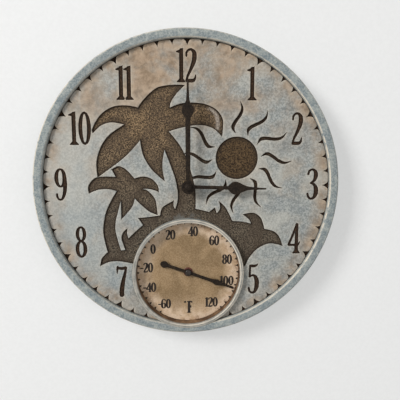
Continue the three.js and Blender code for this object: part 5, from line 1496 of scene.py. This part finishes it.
# painted shade towards the edges of the sunk floors
PAINTED_FLOOR_SHADE = (54, 45, 36)
SMEAR = (112, 112, 108)
# pale lines on the ring's edges: worn paint and a painted highlight
RING_HIGHLIGHT_PAINT = (214, 203, 185)
FACE_RUST = (122, 80, 50)
FACE_STAIN = (96, 70, 46)
HAND_WORN_PAINT = (92, 76, 56)

# How thick the paints lie that are laid over evenly
FLECK_SHARE = 0.36
SCRATCH_SHARE = 0.35
RIM_SHARE = 0.85
WALL_SHADE_SHARE = 0.72
BAND_SHARE = 0.7
RING_BACK_SHARE = 0.43
BRINK_SHARE = 0.85
FACE_FLECK_SHARE = 0.16

# Bumps: their strength, and their depth in millimetres. The stone's is mixed from three noises
STONE_BUMP = (0.65, 0.8)
RING_BUMP = (0.4, 0.6)
FACE_BUMP = (0.12, 0.2)
HAND_BUMP = (0.2, 0.2)
SLEEVE_BUMP = (0.08, 0.2)
PLAIN_BUMP = (0.15, 0.2)
METAL_BUMP = (0.05, 0.2)
GRAIN_BUMP = 0.5
PATCH_BUMP = 0.9
SPECK_BUMP = 0.9

# Finishes: the roughness at low and high values of a noise, and how much the surface shines
STONE_FINISH = (0.7, 0.9, 0.14)
RING_FINISH = (0.6, 0.82, 0.25)
FACE_FINISH = (0.55, 0.7, 0.3)
HAND_FINISH = (0.6, 0.75, 0.12)
SLEEVE_FINISH = (0.26, 0.34, 0.4)
PAPER_FINISH = (0.9, 0.9, 0.2)


def stone_colours(n):
    """Mottled blue grey patina, and the patches, grain and clouds that it is made of."""
    cloud, patch, grain = n.noise(*CLOUD), n.noise(*PATCH), n.noise(*GRAIN)
    colour = n.over(n.tone(patch, PATINA), PALE, n.spread(cloud, *PALE_CLOUDS))
    return n.over(colour, n.tone(grain, FLECK), FLECK_SHARE), patch, grain, cloud


def rim_colour(n, patch, grain):
    """Bluer paint of the rim, with pale scratches."""
    return n.over(n.tone(patch, RIM_BLUE), n.tone(grain, RIM_SCRATCH), SCRATCH_SHARE)


def tan_share(n):
    """Where the dial is stained tan: in clouds from the top down, along the rim, and in patches."""
    up = n.times(n.fade(TAN_UP), n.pattern(TAN_CLOUDS))
    outward = n.times(n.fade(TAN_OUT), n.pattern(TAN_BREAKS))
    return n.most(up, outward, n.pattern(TAN_PATCHES))


def ground_colour(n):
    """The face of the casting, and the patches and grain in it."""
    colour, patch, grain, cloud = stone_colours(n)
    off_rim = n.lack("rim")
    # paler towards the left: patina, and a painted brighter side towards the key light
    left_pale = n.over(LEFT_PALE_LOW, LEFT_PALE_HIGH, n.fade(LEFT_HEIGHT))
    colour = n.over(colour, left_pale, n.fade(LEFT_FADE), off_rim)
    colour = n.over(colour, FADED_RIGHT, n.fade(RIGHT_FADE), n.spread(cloud, *RIGHT_CLOUDS), off_rim)
    colour = n.over(colour, n.tone(patch, TAN), tan_share(n), off_rim)
    colour = n.over(colour, rim_colour(n, patch, grain), n.attribute("rim"), RIM_SHARE)
    # pale paint on edges: worn paint, and a painted highlight on the rim's lit edges and round the sunk
    # shapes
    colour = n.over(colour, WEAR_AND_HIGHLIGHT_PAINT, n.attribute("wear"), n.pattern(WEAR_AND_HIGHLIGHT_BREAKS))
    # dark paint and painted shade in the corners at the rim and round the thermometer's ring
    colour = n.over(colour, CREVICE_PAINT_AND_SHADE, n.most(n.fade(RIM_CREVICE), n.fade(RING_CREVICE)), off_rim)
    return colour, patch, grain


def floor_colour(n, speck):
    """Floor of the sunk shapes: bronze in the scene, golden above and greyer below, darker in the small
    shapes and with painted shade near the edges, dark paint and painted shade on the walls, dark brown in
    numerals and marks."""
    colour = n.over(n.tone(speck, GREY_BRONZE), n.tone(speck, GOLD), n.fade(BRONZE_HEIGHT))
    colour = n.over(colour, BRONZE_CLOUD, n.pattern(BRONZE_CLOUDS))
    mingled = n.total(n.spread(speck, *STROKE_SPECKS), n.pattern(STROKES))
    colour = n.over(colour, n.over(SMALL_DARK, SMALL_LIGHT, mingled), n.attribute("tint"))
    # painted shade away from the floor's core, so that it looks pillowed; more of it higher up
    colour = n.over(colour, PAINTED_FLOOR_SHADE, n.lack("core"), n.fade(SHADE_HEIGHT))
    smear = (n.fade(SMEAR_OUT), n.line(SMEAR_LINE), n.fade(SMEAR_UP), n.pattern(SMEAR_BREAKS))
    colour = n.over(colour, SMEAR, *smear)
    colour = n.over(colour, n.tone(speck, FOLD_TONE), n.attribute("fold"))
    colour = n.over(colour, n.tone(speck, NUMERAL_INK), n.attribute("dark"))
    # dark paint and painted shade down the walls of the sunk shapes
    return n.over(colour, WALL_PAINT_AND_SHADE, n.attribute("edge"), WALL_SHADE_SHARE)


def new_material(name):
    return Nodes(bpy.data.materials.new(name))


@cache
def stone_material():
    n = new_material("patinated_stone")
    ground, patch, grain = ground_colour(n)
    speck = n.noise(*SPECK)
    sunk = n.attribute("sunk")
    fine = n.times(speck, sunk, SPECK_BUMP)
    n.bump(n.total(n.times(grain, GRAIN_BUMP), n.times(patch, PATCH_BUMP), fine), *STONE_BUMP)
    return n.finish(n.over(ground, floor_colour(n, speck), sunk), grain, STONE_FINISH)


def ring_material():
    """The thermometer's ring: grey blue between two pale lines, rusty brown down in the pocket. The pale
    lines are worn paint and a painted highlight, stronger on the right, where the inner edge faces the key
    light.
    """
    n = new_material("patinated_ring")
    base, patch, grain, _ = stone_colours(n)
    colour = n.over(base, n.tone(patch, RING_BAND), BAND_SHARE)
    # pale lines on both edges of the ring, stronger on the right: worn paint and a painted highlight
    ring_highlight = n.most(n.line(INNER_BRINK), n.line(OUTER_BRINK))
    colour = n.over(colour, RING_HIGHLIGHT_PAINT, ring_highlight, n.fade(BRINK_ACROSS), n.pattern(BRINK_BREAKS), BRINK_SHARE)
    bluer = n.over(base, rim_colour(n, patch, grain), RING_BACK_SHARE)
    colour = n.over(colour, bluer, n.fade(RING_BACK))
    pocket = (n.fade(POCKET_TOP), n.fade(POCKET_FLOOR), n.fade(POCKET_WALL))
    colour = n.over(colour, n.tone(n.noise(*RUST_CLOUD), POCKET_RUST), *pocket)
    n.bump(n.total(grain, patch), *RING_BUMP)
    return n.finish(colour, grain, RING_FINISH)


def face_material():
    """Aged print: olive tan in the middle, cream toward the edge, with rust at the rim."""
    n = new_material("printed_scale")
    cloud = n.noise(*FACE_CLOUD)
    ragged = n.total(n.measure("gauge"), n.times(n.math("SUBTRACT", cloud, 0.5), FACE_RAGGED))
    cream = n.tone(n.noise(*FACE_EDGE_CLOUD), FACE_CREAM)
    outer = n.most(n.spread(ragged, *FACE_MIDDLE_END), n.fade(FACE_LOW))
    colour = n.over(n.tone(cloud, FACE_BROWN), cream, outer)
    colour = n.over(colour, FACE_RUST, n.pattern(RUST_SPOTS), n.fade(FACE_RIM))
    colour = n.over(colour, FACE_STAIN, n.pattern(STAINS))
    fine = n.noise(*FACE_GRAIN)
    colour = n.over(colour, n.tone(fine, FACE_FLECK), FACE_FLECK_SHARE)
    n.bump(fine, *FACE_BUMP)
    return n.finish(colour, cloud, FACE_FINISH)


@cache
def hand_material():
    n = new_material("bronze_paint")
    grain = n.noise(*HAND_GRAIN)
    cloud = n.noise(*HAND_CLOUD)
    worn = n.spread(cloud, *HAND_WORN)
    # edges paler in patches: worn paint and a painted highlight
    colour = n.over(n.tone(grain, HAND_BRONZE), HAND_WORN_PAINT, n.attribute("wear"), worn)
    n.bump(grain, *HAND_BUMP)
    return n.finish(colour, cloud, HAND_FINISH)


def sleeve_material(plus_end):
    """Printed plastic in dark blue, with a pale grey band at the positive end."""
    n = new_material("cell_print")
    grain = n.noise(*SLEEVE_GRAIN)
    start = plus_end - CELL_BAND
    band = n.fade(("X", start - CELL_BAND_EDGE, start + CELL_BAND_EDGE))
    n.bump(n.noise(*SLEEVE_WAVE), *SLEEVE_BUMP)
    colour = n.over(n.tone(grain, SLEEVE_BLUE), n.tone(grain, SLEEVE_GREY), band)
    return n.finish(colour, grain, SLEEVE_FINISH)


# Plain finishes of the record's slots and of small parts: linear colour, roughness, contrast, the
# scale of the grain, and whether it is metal
PLAIN_FINISHES = {
    "brass": ((0.24, 0.165, 0.08), 0.5, 0.15, 500, 1.0),
    "steel": ((0.32, 0.32, 0.315), 0.46, 0.1, 420, 1.0),
    "bimetal": ((0.42, 0.30, 0.19), 0.4, 0.12, 500, 1.0),
    "copper": ((0.50, 0.20, 0.08), 0.35, 0.15, 900, 1.0),
    "black_plastic": ((0.028, 0.028, 0.03), 0.42, 0.18, 1400, 0.0),
    "white_plastic": ((0.70, 0.69, 0.64), 0.45, 0.04, 500, 0.0),
    "board": ((0.035, 0.12, 0.06), 0.5, 0.15, 500, 0.0),
    "magnet": ((0.09, 0.09, 0.095), 0.55, 0.15, 900, 0.6),
    "battery_sleeve": ((0.06, 0.11, 0.20), 0.35, 0.08, 300, 0.0),
    "rubber": ((0.012, 0.012, 0.012), 0.8, 0.2, 900, 0.0),
    "hand_metal": ((0.03, 0.022, 0.016), 0.45, 0.2, 900, 0.0),
    "dial_print": ((0.35, 0.22, 0.13), 0.6, 0.1, 300, 0.0),
    "cast_stone": ((0.25, 0.28, 0.28), 0.8, 0.15, 300, 0.0),
    "bush_paint": (srgb(82, 40, 30)[:3], 0.5, 0.3, 900, 0.0),
    "scale_ink": (srgb(34, 25, 18)[:3], 0.6, 0.25, 700, 0.0),
    "button_black": (srgb(40, 34, 30)[:3], 0.3, 0.3, 600, 0.0),
}
PLAIN_ROUGH_SPREAD = 0.08
PLAIN_SPECULAR = 0.3


@cache
def plain_material(name):
    colour, rough, contrast, scale, metallic = PLAIN_FINISHES[name]
    n = new_material("plain_" + name)
    grain = n.noise(scale, *PLAIN_NOISE)
    dark = (*(value * (1 - contrast) for value in colour), 1.0)
    light = (*(value * (1 + contrast) for value in colour), 1.0)
    n.bump(grain, *(METAL_BUMP if metallic else PLAIN_BUMP))
    row = (rough - PLAIN_ROUGH_SPREAD, rough + PLAIN_ROUGH_SPREAD, PLAIN_SPECULAR)
    return n.finish(n.over(dark, light, n.spread(grain, *PLAIN_SPREAD)), grain, row, metallic)


BEVEL_WIDTH = 0.12
WELD_DISTANCE = 1e-3


def dress_cad_nodes():
    """Gives every CAD node a material for its slot, and softens its edges."""
    for row in frame["record"]["subparts"]:
        node = frame["nodes"][row["node"]]
        node.data.materials.clear()
        node.data.materials.append(plain_material(row["material_slot"]))
        weld = node.modifiers.new("weld", "WELD")
        weld.merge_threshold = WELD_DISTANCE * MM
        bevel = node.modifiers.new("bevel", "BEVEL")
        bevel.width = BEVEL_WIDTH * MM
        bevel.segments = 2
        bevel.limit_method = "ANGLE"
        bevel.angle_limit = math.radians(SHARP_DEGREES)


# Camera, light and stage. The camera's place is from the middle of the clock's back, in millimetres;
# lamps and stage are in metres.
FOCAL_PIXELS = 460.0
FRAME_PIXELS = 400.0
SENSOR = 36.0
CAMERA_AT = (-10.2, 46.2, 485.5)
CAMERA_DEGREES = {"Z": 0.04, "X": 7.48, "Y": 2.79}
CAMERA_CLIP = (0.01, 30.0)
LAMPS = {
    "key": ((-1.55, -1.45, 1.0), 0.7, 49.5),
    "fill": ((1.5, -2.2, 0.3), 1.8, 11.0),
    "rear": ((1.76, 4.4, 1.98), 3.1, 194.0),
}
WORLD_LIGHT = (0.84, 0.85, 0.86, 1.0)
WORLD_STRENGTH = 0.5
WORLD_SEEN = (0.78, 0.78, 0.772, 1.0)
BACKDROP_TONES = ((0.78, 0.78, 0.77, 1.0), (0.82, 0.82, 0.81, 1.0))
REAR_TONES = ((0.46, 0.46, 0.455, 1.0), (0.49, 0.49, 0.485, 1.0))
STAGE_SEEN = (0.82, 0.82, 0.81, 1.0)
STAGE_GLOW = 0.5
STAGE_HALF = 5.0
WALL_TOP = 3.0
FLOOR_LEVEL = -0.75
FLOOR_REACH = 6.0
WALL_BEND = 0.25
BEND_STEPS = 12
BACKDROP_GAP = 0.001


def build_camera():
    data = bpy.data.cameras.new("camera")
    data.sensor_width = SENSOR
    data.lens = SENSOR * FOCAL_PIXELS / FRAME_PIXELS
    data.clip_start, data.clip_end = CAMERA_CLIP
    turn = Matrix.Identity(3)
    for axis, degrees in CAMERA_DEGREES.items():
        turn @= Matrix.Rotation(math.radians(degrees), 3, axis)
    axes = Matrix([(row[0], -row[2], row[1]) for row in turn]).transposed()
    right, up, forward = CAMERA_AT
    place = Vector((right * MM, (WALL_LEVEL - forward) * MM, up * MM))
    camera = linked("camera", data)
    camera.matrix_world = Matrix.Translation(place) @ axes.to_4x4()
    bpy.context.scene.camera = camera


def build_lights():
    for name, (place, size, power) in LAMPS.items():
        data = bpy.data.lights.new(name, "AREA")
        data.shape = "SQUARE"
        data.size = size
        data.energy = power
        light = linked(name, data)
        light.location = place
        light.rotation_euler = (-Vector(place)).to_track_quat("-Z", "Y").to_euler()
    world = bpy.data.worlds.new("world")
    bpy.context.scene.world = world
    n = Nodes(world)
    lighting = n.tree.nodes["Background"]
    n.feed(lighting, {"Color": WORLD_LIGHT, "Strength": WORLD_STRENGTH})
    seen = n.node("Background", {"Color": WORLD_SEEN}).outputs[0]
    n.feed(n.tree.nodes["World Output"], {"Surface": n.either(n.seen(), lighting.outputs[0], seen)})


def stage_material(name, tones):
    """Pale paper that can't be seen from behind."""
    n = new_material(name)
    grain = n.noise(*PAPER_NOISE)
    n.finish(n.over(*tones, n.spread(grain, *ROUGH_NOISE)), grain, PAPER_FINISH)
    glow = n.node("Emission", {"Color": STAGE_SEEN}).outputs[0]
    paper = n.either(n.times(n.seen(), STAGE_GLOW), n.shader.outputs[0], glow)
    behind = n.node("NewGeometry", {}).outputs["Backfacing"]
    surface = n.either(behind, paper, n.node("BsdfTransparent", {}).outputs[0])
    n.feed(n.tree.nodes["Material Output"], {"Surface": surface})
    return n.owner


def build_paper(name, path, tones):
    """A wide sheet along a path of (y, z) pairs. Light passes it, so that it lights the clock's back."""
    points = [(side * STAGE_HALF, y, z) for y, z in path for side in (-1, 1)]
    faces = [(2 * i, 2 * i + 2, 2 * i + 3, 2 * i + 1) for i in range(len(path) - 1)]
    mesh = bpy.data.meshes.new(name)
    mesh.from_pydata(points, [], faces)
    mesh.shade_smooth()
    mesh.materials.append(stage_material(name + "_paper", tones))
    sheet = linked(name, mesh)
    sheet.visible_shadow = False
    sheet.visible_diffuse = False
    sheet.visible_glossy = False


def build_stage():
    """A pale wall just behind the clock that curves into a pale floor, and a floor behind the wall too."""
    wall = WALL_LEVEL * MM + BACKDROP_GAP
    path = [(wall, WALL_TOP), (wall, FLOOR_LEVEL + WALL_BEND)]
    for i in range(1, BEND_STEPS + 1):
        angle = math.radians(90 * i / BEND_STEPS)
        drop = (1 - math.cos(angle)) * WALL_BEND
        path.append((wall - drop, FLOOR_LEVEL + WALL_BEND * (1 - math.sin(angle))))
    path.append((wall - FLOOR_REACH, FLOOR_LEVEL))
    build_paper("backdrop", path, BACKDROP_TONES)
    rear = [(wall + FLOOR_REACH, FLOOR_LEVEL), (wall - WALL_BEND, FLOOR_LEVEL)]
    build_paper("rear_floor", rear, REAR_TONES)


bpy.context.scene.view_settings.view_transform = "Standard"
dress_cad_nodes()
build_casting()
build_well()
build_cup()
build_face()
build_print()
build_eyelet()
build_hands()
build_bosses()
build_screws()
build_knob()
build_cover_marks()
build_battery()
build_camera()
build_lights()
build_stage()
